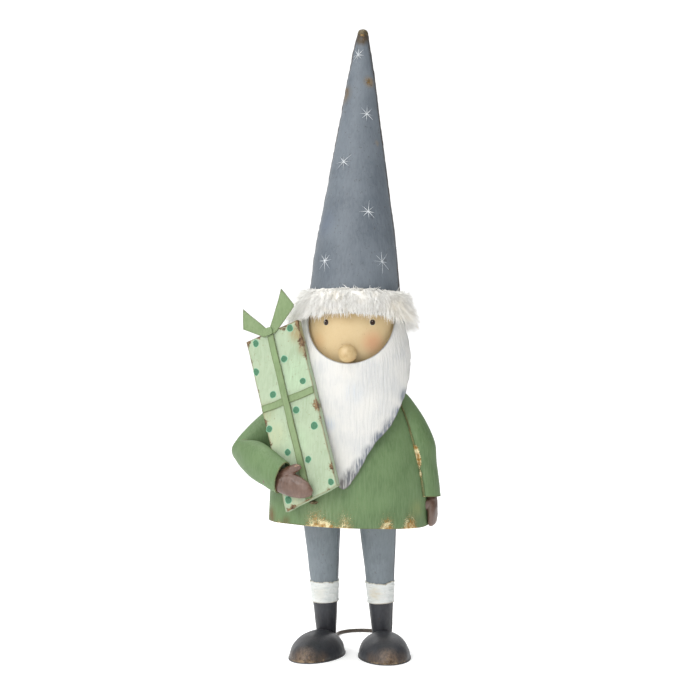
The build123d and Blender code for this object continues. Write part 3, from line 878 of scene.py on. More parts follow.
# stars: eight thin brushed rays each, laid on the hat
stars = {
    # angle in degrees, place along the hat, size in mm
    "places": ((-18.4, 200.7, 5.6), (24.6, 150.1, 6.2), (-28.1, 109.9, 6.8), (23.0, 68.6, 7.2),
               (-40.0, 28.6, 7.4),
               (42.7, 28.8, 7.6), (-92, 76, 6.6), (98, 104, 6.4), (110, 42, 7.0), (-120, 36, 7.2),
               (-135, 140, 6.0),
               (165, 76, 6.8), (178, 28, 7.2), (150, 176, 5.6), (-160, 192, 5.4), (-165, 104, 6.4)),
    "width": 0.62, "lift": 0.16,
}


def geometryTree(name, inputs):
    return newGroup(name, "GeometryNodeTree", [("Geometry", "NodeSocketGeometry", None)] + inputs,
                    [("Geometry", "NodeSocketGeometry")])


def endTree(tree, geometry, given, out):
    real = firstOut(tree, "GeometryNodeRealizeInstances", {0: geometry})
    painted = addNode(tree, "GeometryNodeSetMaterial", {"Geometry": real, "Material": given["Material"]})
    tree.links.new(painted.outputs[0], out["Geometry"])


def runTree(piece, tree, values):
    # sets the tree's inputs by identifier, and turns its result into the piece's mesh
    nodes = piece.modifiers.new(tree.name, "NODES")
    nodes.node_group = tree
    for item in tree.interface.items_tree:
        if item.item_type == "SOCKET" and item.in_out == "INPUT" and item.name in values:
            nodes[item.identifier] = values[item.name]
    return baked(piece)


def field(tree, name, kind="FLOAT"):
    return firstOut(tree, "GeometryNodeInputNamedAttribute", {"Name": name}, data_type=kind)


def vectorCalc(tree, operation, a, b=None, scale=None):
    values = {0: a}
    if b is not None:
        values[1] = b
    if scale is not None:
        values["Scale"] = scale
    return firstOut(tree, "ShaderNodeVectorMath", values, operation=operation)


def store(tree, geometry, name, value, kind="FLOAT", domain="POINT"):
    node = addNode(tree, "GeometryNodeStoreNamedAttribute",
                   {"Geometry": geometry, "Name": name, "Value": value},
                   data_type=kind, domain=domain)
    return node.outputs[0]


def randomField(tree, low, high, seed, identity=None):
    node = addNode(tree, "FunctionNodeRandomValue", {2: low, 3: high, "Seed": seed}, data_type="FLOAT")
    if identity is not None:
        tree.links.new(identity, node.inputs["ID"])
    return node.outputs[1]


def starTree():
    # Each point of the mesh gets eight rays, flat in the hat's skin; the point's axes are stored on it.
    tree, given, out = geometryTree("brushedStars", [
        ("Width", "NodeSocketFloat", 0.0006), ("Lift", "NodeSocketFloat", 0.0002),
        ("Material", "NodeSocketMaterial", None),
    ])
    ray = addNode(tree, "GeometryNodeMeshGrid",
                  {"Size X": 1.0, "Size Y": 1.0, "Vertices X": 3, "Vertices Y": 9})
    spot = firstOut(tree, "GeometryNodeInputPosition")
    parts = addNode(tree, "ShaderNodeSeparateXYZ", {0: spot}).outputs
    down = plus(tree, parts[1], 0.5)
    thin = times(tree, parts[0], minus(tree, 1.0, calc(tree, "POWER", down, 1.6)))
    shaped = addNode(tree, "ShaderNodeCombineXYZ",
                     {0: thin, 1: down, 2: minus(tree, 0.25, calc(tree, "ABSOLUTE", parts[0]))})
    ray = firstOut(tree, "GeometryNodeSetPosition",
                   {"Geometry": ray.outputs[0], "Position": shaped.outputs[0]})
    points = firstOut(tree, "GeometryNodeMeshToPoints", {"Mesh": given["Geometry"]})
    eight = addNode(tree, "GeometryNodeDuplicateElements", {"Geometry": points, "Amount": 8}, domain="POINT")
    step = eight.outputs[1]
    whole = store(tree, eight.outputs[0], "step", step, "INT")
    index = firstOut(tree, "GeometryNodeInputIndex")
    lengthwise = randomField(tree, 0.72, 1.12, 3, index)
    straight = times(tree, calc(tree, "ABSOLUTE",
                                calc(tree, "COSINE", times(tree, field(tree, "step", "INT"), math.pi / 4))),
                                0.18)
    reach = times(tree, field(tree, "size"), plus(tree, lengthwise, straight))
    turn = plus(tree, times(tree, field(tree, "step", "INT"), math.pi / 4),
                randomField(tree, -0.14, 0.14, 9, index))
    spin = firstOut(tree, "ShaderNodeCombineXYZ", {2: turn})
    face = firstOut(tree, "FunctionNodeAxesToRotation",
                    {0: field(tree, "outward", "FLOAT_VECTOR"), 1: field(tree, "upward", "FLOAT_VECTOR")},
                   primary_axis="Z", secondary_axis="Y")
    laid = firstOut(tree, "FunctionNodeRotateRotation",
                    {"Rotation": face, "Rotate By": firstOut(tree, "FunctionNodeEulerToRotation", {0: spin})},
                   rotation_space="LOCAL")
    size = firstOut(tree, "ShaderNodeCombineXYZ",
                    {0: times(tree, given["Width"], randomField(tree, 0.7, 1.35, 21, index)), 1: reach,
                     2: 0.0004})
    rays = firstOut(tree, "GeometryNodeInstanceOnPoints",
                    {"Points": whole, "Instance": ray, "Rotation": laid, "Scale": size})
    solid = firstOut(tree, "GeometryNodeRealizeInstances", {0: rays})
    # drawn in to the hat's round side, which falls away from the flat rays
    here = firstOut(tree, "GeometryNodeInputPosition")
    away = vectorCalc(tree, "SUBTRACT", here, field(tree, "centre", "FLOAT_VECTOR"))
    sideways = addNode(tree, "ShaderNodeVectorMath", {0: away, 1: field(tree, "sideward", "FLOAT_VECTOR")},
                       operation="DOT_PRODUCT").outputs["Value"]
    fall = calc(tree, "DIVIDE", times(tree, sideways, sideways), times(tree, field(tree, "roundness"), -2.0))
    drawn = vectorCalc(tree, "SCALE", field(tree, "outward", "FLOAT_VECTOR"),
                       scale=plus(tree, fall, given["Lift"]))
    solid = firstOut(tree, "GeometryNodeSetPosition", {"Geometry": solid, "Offset": drawn})
    endTree(tree, solid, given, out)
    return tree


def paintDab(name, colourA, colourB, roughness=0.5, scale=700.0):
    material = bpy.data.materials.new(name)
    material.use_nodes = True
    tree = material.node_tree
    shader = tree.nodes["Principled BSDF"]
    here = addNode(tree, "ShaderNodeTexCoord").outputs["Object"]
    dabs = addNode(tree, "ShaderNodeTexNoise", {"Vector": here, "Scale": scale, "Detail": 4.0})
    tree.links.new(mixColour(tree, band(tree, dabs.outputs[0], 0.35, 0.65), colourA, colourB),
                   shader.inputs["Base Color"])
    shader.inputs["Roughness"].default_value = roughness
    bump = addNode(tree, "ShaderNodeBump", {"Height": dabs.outputs[0], "Strength": 0.3, "Distance": 0.0004})
    tree.links.new(bump.outputs[0], shader.inputs["Normal"])
    return material


def makeStars():
    centres = [onHat(math.radians(angle), s) for angle, s, size in stars["places"]]
    mesh = meshOf("hatStars", centres, [])
    lists = {"outward": [], "upward": [], "sideward": [], "centre": []}
    for (angle, s, size), centre in zip(stars["places"], centres):
        turn = math.radians(angle)
        rise = (onHat(turn, s + 1) - onHat(turn, s - 1)).normalized()
        sideward = (onHat(turn + 0.02, s) - onHat(turn - 0.02, s)).normalized()
        lists["upward"].append(rise)
        lists["sideward"].append(sideward)
        lists["outward"].append(sideward.cross(rise))
        lists["centre"].append(centre)
    for label, rows in lists.items():
        attribute = mesh.attributes.new(label, "FLOAT_VECTOR", "POINT")
        for index, row in enumerate(rows):
            attribute.data[index].vector = row
    size = mesh.attributes.new("size", "FLOAT", "POINT")
    roundness = mesh.attributes.new("roundness", "FLOAT", "POINT")
    for index, (angle, s, width) in enumerate(stars["places"]):
        size.data[index].value = width * mm
        roundness.data[index].value = along(hat["side"], s)[0] * mm
    piece = newObject("hatStars", mesh)
    paint = paintDab("starPaint", tone(214, 220, 226), tone(236, 240, 242))
    runTree(piece, starTree(), {"Width": stars["width"] * mm, "Lift": stars["lift"] * mm, "Material": paint})
    finishPiece(piece, None, "hat_paint")


makeStars()
print("hat and stars")


fur = {
    "backingSize": (0.270, 0.020),   # the strip of fur fabric as it was cut
    "top": 5.6, "bottom": -14.4,     # edges of the strip along the hat, mm from its rim
    "pileBottom": -9.8,             # the pile is shorn away below this
    "radius": 38.4, "density": 6.2e6, "length": 15.5, "thickness": 0.23, "clump": 150.0, "lock": 430.0,
    "seed": 7,
    "woolRadius": 38.9, "woolLevel": -3.0, "woolWide": 1.0, "woolHigh": 6.6,  # the ring of short wool
}


def stripRadius(s):
    # the strip lies on the hat's rim and spreads a little over the brow below it
    return fur["radius"] + 1.6 * smooth((4 - s) / 12)


def furTree():
    tree, given, out = geometryTree("furPile", [
        ("Density", "NodeSocketFloat", 1e6), ("Length", "NodeSocketFloat", 0.015),
        ("Thickness", "NodeSocketFloat", 0.0002),
        ("Clump Scale", "NodeSocketFloat", 90.0), ("Lock Scale", "NodeSocketFloat", 400.0),
        ("Seed", "NodeSocketInt", 1),
        ("Material", "NodeSocketMaterial", None),
    ])
    scatter = addNode(tree, "GeometryNodeDistributePointsOnFaces",
                      {"Mesh": given["Geometry"], "Density": given["Density"], "Seed": given["Seed"]})
    index = firstOut(tree, "GeometryNodeInputIndex")
    here = firstOut(tree, "GeometryNodeInputPosition")
    points = store(tree, scatter.outputs["Points"], "root", here, "FLOAT_VECTOR")
    # hairs lean together into small locks, each a little brighter or darker than the next
    lock = addNode(tree, "ShaderNodeTexVoronoi", {"Vector": here, "Scale": given["Lock Scale"]}).outputs
    points = store(tree, points, "lock", vectorCalc(tree, "SUBTRACT", lock["Position"], here), "FLOAT_VECTOR")
    lockShade = firstOut(tree, "ShaderNodeSeparateXYZ", {0: lock["Color"]})
    points = store(tree, points, "reach",
                   times(tree, given["Length"],
                         times(tree, field(tree, "long"), randomField(tree, 0.4, 1.28, 5, index))))
    points = store(tree, points, "loose", randomField(tree, 0.0, 1.0, 8, index))
    points = store(tree, points, "shade",
                   plus(tree, times(tree, lockShade, 0.65), randomField(tree, 0.0, 0.35, 11, index)))
    line = firstOut(tree, "GeometryNodeCurvePrimitiveLine", {"Start": (0, 0, 0), "End": (0, 0, 1)})
    line = firstOut(tree, "GeometryNodeResampleCurve", {"Curve": line, "Count": 4})
    strands = firstOut(tree, "GeometryNodeInstanceOnPoints", {"Points": points, "Instance": line})
    strands = firstOut(tree, "GeometryNodeRealizeInstances", {0: strands})
    factor = addNode(tree, "GeometryNodeSplineParameter").outputs["Factor"]
    root = field(tree, "root", "FLOAT_VECTOR")
    reach = field(tree, "reach")
    bend = calc(tree, "POWER", factor, 1.7)
    clump = addNode(tree, "ShaderNodeTexNoise",
                    {"Vector": root, "Scale": given["Clump Scale"], "Detail": 1.5}).outputs["Color"]
    clump = vectorCalc(tree, "SUBTRACT", clump, (0.5, 0.5, 0.5))
    fuzz = addNode(tree, "ShaderNodeTexNoise",
                   {"Vector": root, "Scale": 1900.0, "Detail": 1.0}).outputs["Color"]
    fuzz = vectorCalc(tree, "SUBTRACT", fuzz, (0.5, 0.5, 0.5))
    rise = vectorCalc(tree, "SCALE", field(tree, "rise", "FLOAT_VECTOR"), scale=times(tree, reach, factor))
    fall = vectorCalc(tree, "SCALE", field(tree, "fall", "FLOAT_VECTOR"), scale=times(tree, reach, bend))
    sway = vectorCalc(tree, "SCALE", clump, scale=times(tree, times(tree, reach, bend), 1.15))
    stray = vectorCalc(tree, "SCALE", fuzz,
                       scale=times(tree, times(tree, reach, bend),
                                   plus(tree, 0.5, times(tree, calc(tree, "POWER", field(tree, "loose"), 9.0),
                                                         3.0))))
    gather = vectorCalc(tree, "SCALE", field(tree, "lock", "FLOAT_VECTOR"), scale=times(tree, factor, 0.85))
    place = vectorCalc(tree, "ADD", vectorCalc(tree, "ADD", root, rise),
                       vectorCalc(tree, "ADD", fall, vectorCalc(tree, "ADD", sway, stray)))
    place = vectorCalc(tree, "ADD", place, gather)
    strands = firstOut(tree, "GeometryNodeSetPosition", {"Geometry": strands, "Position": place})
    taper = minus(tree, 1.0, times(tree, calc(tree, "POWER", factor, 2.2), 0.8))
    width = times(tree, given["Thickness"], taper)
    strands = store(tree, strands, "tip", factor)
    ring = firstOut(tree, "GeometryNodeCurvePrimitiveCircle", {"Resolution": 3, "Radius": 1.0}, mode="RADIUS")
    solid = firstOut(tree, "GeometryNodeCurveToMesh",
                     {"Curve": strands, "Profile Curve": ring, "Scale": width})
    endTree(tree, solid, given, out)
    return tree


def furMaterial():
    material = bpy.data.materials.new("furPile")
    material.use_nodes = True
    tree = material.node_tree
    shader = tree.nodes["Principled BSDF"]
    here = addNode(tree, "ShaderNodeTexCoord").outputs["Object"]
    tip = addNode(tree, "ShaderNodeAttribute", attribute_name="tip").outputs["Fac"]
    shade = addNode(tree, "ShaderNodeAttribute", attribute_name="shade").outputs["Fac"]
    tufts = addNode(tree, "ShaderNodeTexNoise", {"Vector": here, "Scale": 110.0, "Detail": 2.0})
    # painted shade: the hairs are darker at their roots, deep in the pile, and white at the tips
    colour = mixColour(tree, tip, tone(240, 238, 232, 0.95), tone(254, 254, 252, 0.98))
    colour = mixColour(tree, times(tree, shade, 0.55), colour, tone(222, 220, 214, 0.92))
    warm = times(tree, band(tree, tufts.outputs[0], 0.5, 0.75), 0.35)
    colour = mixColour(tree, warm, colour, tone(238, 230, 214, 0.95))
    stainAt = addNode(tree, "ShaderNodeVectorMath", {0: here, 1: onHat(1.0, -9, 10)},
                      operation="DISTANCE").outputs["Value"]
    stained = times(tree, band(tree, stainAt, 0.02, 0.004), 0.12)
    colour = mixColour(tree, stained, colour, tone(232, 214, 168, 0.95))
    tree.links.new(colour, shader.inputs["Base Color"])
    shader.inputs["Roughness"].default_value = 0.55
    shader.inputs["Specular IOR Level"].default_value = 0.3
    shader.inputs["Sheen Weight"].default_value = 0.25
    # a faint painted glow in the hair's own colour, standing in for light that finds its way through the fine
    # hair
    tree.links.new(colour, shader.inputs["Emission Color"])
    shader.inputs["Emission Strength"].default_value = 0.1
    return material


def makeFur():
    # the strip of fabric that carries the pile, glued round the hat's rim
    def strip(u, v):
        s = fur["bottom"] + (fur["top"] - fur["bottom"]) * v
        angle = math.pi * (2 * u - 1) * 0.995 + math.pi
        return roundHat(angle, (stripRadius(s) - 0.4), s)

    backing = gridSheet("furBacking", 180, 14, strip)
    flipOutward(backing, hatFoot)
    thicken(backing, 0.8)
    weave = bpy.data.materials.new("furBacking")
    weave.use_nodes = True
    tree = weave.node_tree
    shader = tree.nodes["Principled BSDF"]
    here = addNode(tree, "ShaderNodeTexCoord").outputs["Object"]
    knit = addNode(tree, "ShaderNodeTexNoise", {"Vector": here, "Scale": 1500.0, "Detail": 3.0})
    tree.links.new(mixColour(tree, knit.outputs[0], tone(214, 210, 202), tone(236, 233, 226)),
                   shader.inputs["Base Color"])
    shader.inputs["Roughness"].default_value = 0.9
    backing.data.materials.append(weave)
    finishPiece(backing, None, "fur")

    pile = furMaterial()
    # the dense short wool under the long pile
    def under(u, v):
        turn = 2 * math.pi * v - math.pi * 0.5
        angle = 2 * math.pi * u
        r = fur["woolRadius"] + fur["woolWide"] * math.cos(turn)
        s = fur["woolLevel"] + fur["woolHigh"] * math.sin(turn)
        r += 0.9 * rough(math.cos(angle) * 9, math.sin(angle) * 9, v * 9, 17)
        return roundHat(-angle, r, s)

    columns, rows = 200, 36
    points = [under(i / columns, j / rows) for j in range(rows) for i in range(columns)]
    faces = []
    for j in range(rows):
        for i in range(columns):
            a, b = j * columns + i, j * columns + (i + 1) % columns
            c, d = ((j + 1) % rows) * columns + (i + 1) % columns, ((j + 1) % rows) * columns + i
            faces.append((a, b, c, d))
    wool = newObject("furUnderwool", meshOf("furUnderwool", points, faces))
    first = wool.data.polygons[0]
    ringMiddle = hatFoot + (first.center - hatFoot).normalized() * 0.0396
    if (first.center - ringMiddle).dot(first.normal) < 0:
        wool.data.flip_normals()
    for label, value in (("tip", 0.35), ("shade", 0.4)):
        attribute = wool.data.attributes.new(label, "FLOAT", "POINT")
        for vertex in wool.data.vertices:
            attribute.data[vertex.index].value = value
    wool.data.materials.append(pile)
    finishPiece(wool, None, "fur")

    tree = furTree()
    quarter = math.pi / 2
    for number, name in enumerate(("furPileFront", "furPileRight", "furPileBack", "furPileLeft")):
        middle = number * quarter
        across, rows = 40, 12
        points, rises, falls, longs = [], [], [], []
        for j in range(rows + 1):
            s = fur["pileBottom"] + (fur["top"] - fur["pileBottom"]) * j / rows
            for i in range(across + 1):
                angle = middle + quarter * (i / across - 0.5)
                outward = hatRight * math.sin(angle) - hatBack * math.cos(angle)
                onward = hatRight * math.cos(angle) + hatBack * math.sin(angle)
                level = j / rows
                front = smooth((math.cos(angle) - 0.3) / 0.65)
                points.append(hatFoot + outward * stripRadius(s) * mm + hatUp * s * mm)
                lean = 0.35 * rough(angle * 3, s / 9, 0, 19)
                # the pile stands out from the strip, then falls; in front it is combed down over the brow
                rises.append(outward * (0.66 - 0.16 * front - 0.2 * level) + hatUp
                             * (0.42 * level ** 2 - 0.14) + onward * lean * 0.5)
                falls.append(outward * (0.06 - 0.22 * front * (1 - level)) - hatUp
                             * (0.56 + 0.16 * front - 0.3 * level ** 3)
                             + onward * lean)
                longs.append(0.8 - 0.3 * front + 0.12 * math.sin(math.pi * level) - 0.16 * level ** 2)
        faces = []
        for j in range(rows):
            for i in range(across):
                a = j * (across + 1) + i
                faces.append((a, a + 1, a + across + 2, a + across + 1))
        mesh = meshOf(name, points, faces)
        for label, rowsOf in (("rise", rises), ("fall", falls)):
            attribute = mesh.attributes.new(label, "FLOAT_VECTOR", "POINT")
            for index, row in enumerate(rowsOf):
                attribute.data[index].vector = row
        attribute = mesh.attributes.new("long", "FLOAT", "POINT")
        for index, value in enumerate(longs):
            attribute.data[index].value = value
        piece = newObject(name, mesh)
        runTree(piece, tree, {
            "Density": fur["density"], "Length": fur["length"] * mm, "Thickness": fur["thickness"] * mm,
            "Clump Scale": fur["clump"], "Lock Scale": fur["lock"], "Seed": fur["seed"] + number,
            "Material": pile,
        })
        print(name, len(piece.data.polygons), "faces")
        for face in piece.data.polygons:
            face.use_smooth = True
        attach(piece, "root")
        if number == 0:
            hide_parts("fur_trim")


makeFur()
print("fur")


gift = {
    "foot": (-43.7, -49.0, 11.2), "turns": ((-20, "Z"), (85, "X"), (19.35, "Z")),
    "corners": ((0, 0), (47.6, 7.7), (47.6, 141.3), (0, 138.6)), "depth": 6.0, "wave": 0.45, "dent": 0.28,
    "ribbonMiddle": 22.4, "ribbonWidth": 5.8,
    "dots": ((7.9, 134.9), (40.1, 137.2), (28.9, 115.4), (2.6, 112.9), (40, 93.8), (12.3, 91.3), (28.9, 73.6),
             (2.4, 66.2), (40.8, 57.5), (13.3, 44.2), (29.1, 33.9), (43.4, 12), (4.6, 8.4)),
    "dotSize": 2.95,
}
giftTurn = Matrix.Identity(3)
for angle, axis in gift["turns"]:
    giftTurn = giftTurn @ Matrix.Rotation(math.radians(angle), 3, axis)


def onGift(u, v, z=0.0):
    # u across the box, v up it, z out of its front
    x, y, w = Vector(gift["foot"]) + giftTurn @ Vector((u, v, z))
    return onBody(x, y, w)


def giftWobble(u, v):
    # how the hand-cut sheet wanders from a true outline
    return (u + gift["wave"] * rough(v / 14, u / 30, 0, 21), v + gift["wave"] * rough(u / 12, v / 40, 0, 22))


def bilinear(corners, s, t):
    (ax, ay), (bx, by), (cx, cy), (dx, dy) = corners
    return ((ax * (1 - s) + bx * s) * (1 - t) + (dx * (1 - s) + cx * s) * t,
            (ay * (1 - s) + by * s) * (1 - t) + (dy * (1 - s) + cy * s) * t)


def slab(name, corners, low, high, across, alongCount, lift=None):
    # a thin plate on the box's front, from its bottom height to its top height
    points, faces = [], []
    for z in (low, high):
        for j in range(alongCount + 1):
            for i in range(across + 1):
                u, v = giftWobble(*bilinear(corners, i / across, j / alongCount))
                points.append(onGift(u, v, z + (lift(u, v) if lift else 0)))
    row = across + 1
    layer = row * (alongCount + 1)
    for j in range(alongCount):
        for i in range(across):
            a = j * row + i
            faces.append((layer + a, layer + a + 1, layer + a + row + 1, layer + a + row))
            faces.append((a, a + row, a + row + 1, a + 1))
    rim = ([j * row for j in range(alongCount, 0, -1)] + list(range(across))
           + [j * row + across for j in range(alongCount)])
    rim += [alongCount * row + i for i in range(across, 0, -1)]
    for a, b in zip(rim, rim[1:] + rim[:1]):
        faces.append((a, b, layer + b, layer + a))
    return newObject(name, meshOf(name, points, faces))


def makeGift():
    corners = gift["corners"]
    across, alongCount, deep = 48, 130, 5
    points, faces = [], []

    def dent(u, v):
        return gift["dent"] * rough(u / 14, v / 14, 0, 23) + 0.08 * rough(u / 4, v / 4, 0, 24)

    for j in range(alongCount + 1):
        for i in range(across + 1):
            u, v = giftWobble(*bilinear(corners, i / across, j / alongCount))
            points.append(onGift(u, v, dent(u, v) - 0.15))
    row = across + 1
    for j in range(alongCount):
        for i in range(across):
            a = j * row + i
            faces.append((a, a + 1, a + row + 1, a + row))
    rim = ([j * row for j in range(alongCount, 0, -1)] + list(range(across))
           + [j * row + across for j in range(alongCount)])
    rim += [alongCount * row + i for i in range(across, 0, -1)]
    outward = (onGift(0, 0, 1) - onGift(0, 0, 0)) / mm
    last = rim
    for step in range(1, deep + 1):
        first = len(points)
        for index in rim:
            points.append(points[index] - outward * gift["depth"] * mm * step / deep)
        fresh = list(range(first, len(points)))
        for k in range(len(rim)):
            k2 = (k + 1) % len(rim)
            faces.append((last[k], fresh[k], fresh[k2], last[k2]))
        last = fresh
    tray = newObject("giftBoxFront", meshOf("giftBoxFront", points, faces))
    thicken(tray, 0.8, 0.35, folded=True)
    spots = placed(onGift, [
        ((0, 137), 8, 1.0), ((12, 138.5), 6, 0.8), ((34, 140.5), 10, 1.0), ((47.6, 138), 9, 1.3),
        ((47.6, 124), 11, 1.4), ((47.6, 112), 7, 0.9), ((47.6, 72), 12, 1.2), ((47.6, 60), 7, 0.8),
        ((47.6, 22), 9, 1.1), ((0, 72), 7, 1.2), ((0, 98), 6, 0.6), ((0, 54), 9, 0.6),
        ((6, 1), 10, 1.2), ((22, 4), 8, 0.8), ((0, 122), 5, 0.6), ((40, 6.5), 6, 0.5),
    ])
    markEdges(tray, (), [(place, radius * 0.8, amount * 0.85) for place, radius, amount in spots], base=-0.1,
              sharp=20)
    blots = placed(onGift, [
        ((3, 80), 12, (182, 186, 140), 0.6), ((6, 60), 16, (206, 214, 170), 0.5),
        ((46, 131), 12, (176, 160, 116), 0.9), ((47, 118), 8, (160, 140, 100), 0.8),
        ((34, 100), 22, (200, 230, 192), 0.5),
        ((24, 50), 18, (200, 228, 188), 0.5), ((10, 5), 9, (206, 210, 170), 0.5),
    ])
    giftMaterial = paintMaterial("giftPaint", giftPaint, blots)
    finishPiece(tray, giftMaterial, "gift_paint", "gift_box_front")

    inset = [(0.9, 0.9), (46.7, 8.5), (46.7, 140.3), (0.9, 137.7)]
    back = slab("giftBoxBack", inset, -gift["depth"], -gift["depth"] + 0.8, 24, 60)
    markEdges(back, sharp=60)
    finishPiece(back, giftMaterial, "gift_paint", "gift_box_back")

    ribbonMaterial = paintMaterial("ribbonPaint", ribbonPaint, [
        (onGift(22, 30), 9, tone(128, 158, 104), 0.5), (onGift(22, 120), 12, tone(150, 178, 126), 0.5),
    ])
    middle, half = gift["ribbonMiddle"], gift["ribbonWidth"] / 2
    crossCorners = [(0.2, 79.4), (47.4, 81.6), (47.4, 87.4), (0.2, 85.2)]
    cross = slab("giftRibbonCross", crossCorners, 0.05, 0.55, 60, 8, dent)
    markEdges(cross, sharp=60)
    finishPiece(cross, ribbonMaterial, "ribbon_paint", "gift_ribbon_cross")
    longCorners = [(middle - half - 0.1, 4.4), (middle + half, 4.4), (middle + half - 0.3, 137.0),
                   (middle - half, 136.4)]

    def crown(u, v):
        return (0.55 * math.exp(-(((v - 83) / 5) ** 2)) + 0.3 * smooth((u - middle) / half)
                + 0.25 * rough(v / 9, 0, 0, 25) + 0.1)

    longRibbon = slab("giftRibbonLong", longCorners, 0.15, 1.0, 8, 150, crown)
    markEdges(longRibbon, sharp=60)
    finishPiece(longRibbon, ribbonMaterial, "ribbon_paint", "gift_ribbon_long")

    # the bow: two tails cut from sheet and a folded knot
    tails = {
        "giftBowTailRight": ("gift_bow_tail_right",
                             ((16.6, 137.0), (20.6, 137.4), (21.0, 141.6), (5.3, 164.0), (0.9, 148.6))),
        "giftBowTailLeft": ("gift_bow_tail_left", ((21.8, 137.4), (26.8, 137.4), (48.6, 151.4), (49.2, 153.4),
                                                 (42.2, 168.6), (22.6, 142.0))),
    }
    for name, (node, shape) in tails.items():
        flat = bmesh.new()
        flat.faces.new([flat.verts.new((u, v, 0)) for u, v in shape])
        bmesh.ops.triangulate(flat, faces=flat.faces[:])
        bmesh.ops.subdivide_edges(flat, edges=flat.edges[:], cuts=11, use_grid_fill=True)
        bmesh.ops.recalc_face_normals(flat, faces=flat.faces[:])
        if sum(f.normal.z for f in flat.faces) < 0:
            bmesh.ops.reverse_faces(flat, faces=flat.faces[:])
        for vertex in flat.verts:
            u, v = vertex.co.x, vertex.co.y
            far = math.hypot(u - 21.5, v - 139)
            bend = 0.9 + 0.0026 * far ** 2 + 0.35 * rough(u / 8, v / 8, 0, 26)
            u, v = giftWobble(u, v)
            vertex.co = onGift(u, v, bend)
        mesh = bpy.data.meshes.new(name)
        flat.to_mesh(mesh)
        flat.free()
        tail = newObject(name, mesh)
        thicken(tail, 0.8, 0.12)
        markEdges(tail)
        finishPiece(tail, ribbonMaterial, "ribbon_paint", node)

    def knotPlace(u, v):
        turn, rise = 2 * math.pi * u, math.pi * (v - 0.5)
        ring = abs(math.cos(rise)) ** 0.5
        x = math.copysign(abs(math.cos(turn)) ** 0.55, math.cos(turn)) * ring
        y = math.copysign(abs(math.sin(turn)) ** 0.55, math.sin(turn)) * ring
        z = math.copysign(abs(math.sin(rise)) ** 0.6, math.sin(rise))
        fold = 0.25 * math.cos(x * 5) * (1 - abs(y) * 0.5)
        return onGift(21.3 + x * 4.2 + 0.3 * rough(y, x, 0, 27), 140.2 + y * 3.1, 1.9 + z * (0.95 + fold))

    knot = gridSheet("giftBowKnot", 48, 24, knotPlace, closed=True)
    bpy.context.view_layer.update()
    solid = bmesh.new()
    solid.from_mesh(knot.data)
    bmesh.ops.remove_doubles(solid, verts=solid.verts[:], dist=1e-6)
    bmesh.ops.recalc_face_normals(solid, faces=solid.faces[:])
    solid.to_mesh(knot.data)
    solid.free()
    markEdges(knot, base=0.1, sharp=70)
    finishPiece(knot, ribbonMaterial, "ribbon_paint", "gift_bow_knot")

    # dabs of darker paint
    dots = meshOf("giftDots", [onGift(u, v, 0.0) for u, v in gift["dots"]], [])
    dotsPiece = newObject("giftDots", dots)
    tree, given, out = geometryTree("paintDots", [
        ("Size", "NodeSocketFloat", 0.0025), ("Outward", "NodeSocketVector", None),
        ("Material", "NodeSocketMaterial", None),
    ])
    cone = firstOut(tree, "GeometryNodeMeshCone", {"Vertices": 20, "Side Segments": 5, "Radius Top": 0.0,
                                                  "Radius Bottom": 1.0, "Depth": 1.0}, fill_type="NONE")
    spot = addNode(tree, "ShaderNodeSeparateXYZ", {0: firstOut(tree, "GeometryNodeInputPosition")}).outputs
    away = calc(tree, "SQRT", plus(tree, times(tree, spot[0], spot[0]), times(tree, spot[1], spot[1])))
    cone = store(tree, cone, "ring", away)
    dome = minus(tree, 0.20, times(tree, calc(tree, "POWER", field(tree, "ring"), 4.0), 0.3))
    lowered = firstOut(tree, "ShaderNodeCombineXYZ", {0: spot[0], 1: spot[1], 2: dome})
    cone = firstOut(tree, "GeometryNodeSetPosition", {"Geometry": cone, "Position": lowered})
    face = firstOut(tree, "FunctionNodeAlignEulerToVector", {"Vector": given["Outward"]}, axis="Z")
    index = firstOut(tree, "GeometryNodeInputIndex")
    wide = times(tree, given["Size"], randomField(tree, 0.86, 1.14, 2, index))
    tall = times(tree, given["Size"], randomField(tree, 0.92, 1.2, 6, index))
    size = firstOut(tree, "ShaderNodeCombineXYZ", {0: wide, 1: tall, 2: 0.001})
    points = firstOut(tree, "GeometryNodeMeshToPoints", {"Mesh": given["Geometry"]})
    laid = firstOut(tree, "GeometryNodeInstanceOnPoints",
                    {"Points": points, "Instance": cone, "Rotation": face, "Scale": size})
    laid = firstOut(tree, "GeometryNodeRealizeInstances", {0: laid})
    here = firstOut(tree, "GeometryNodeInputPosition")
    drift = addNode(tree, "ShaderNodeTexNoise",
                    {"Vector": here, "Scale": 420.0, "Detail": 1.0}).outputs["Color"]
    drift = vectorCalc(tree, "SUBTRACT", drift, (0.5, 0.5, 0.5))
    flatDrift = firstOut(tree, "ShaderNodeVectorMath", {0: drift, 1: given["Outward"]}, operation="PROJECT")
    drift = vectorCalc(tree, "SCALE", vectorCalc(tree, "SUBTRACT", drift, flatDrift),
                       scale=times(tree, field(tree, "ring"), 0.0014))
    laid = firstOut(tree, "GeometryNodeSetPosition", {"Geometry": laid, "Offset": drift})
    endTree(tree, laid, given, out)
    material = paintDab("dotPaint", tone(64, 124, 90), tone(80, 140, 104), 0.5, 1200.0)
    shaderTree = material.node_tree
    shader = shaderTree.nodes["Principled BSDF"]
    inner = shader.inputs["Base Color"].links[0].from_socket
    ring = addNode(shaderTree, "ShaderNodeAttribute", attribute_name="ring").outputs["Fac"]
    shaderTree.links.new(mixColour(shaderTree, band(shaderTree, ring, 0.8, 0.9), inner, tone(150, 206, 172)),
                         shader.inputs["Base Color"])
    runTree(dotsPiece, tree, {"Size": gift["dotSize"] * mm, "Outward": tuple(outward), "Material": material})
    finishPiece(dotsPiece, None, "gift_paint")


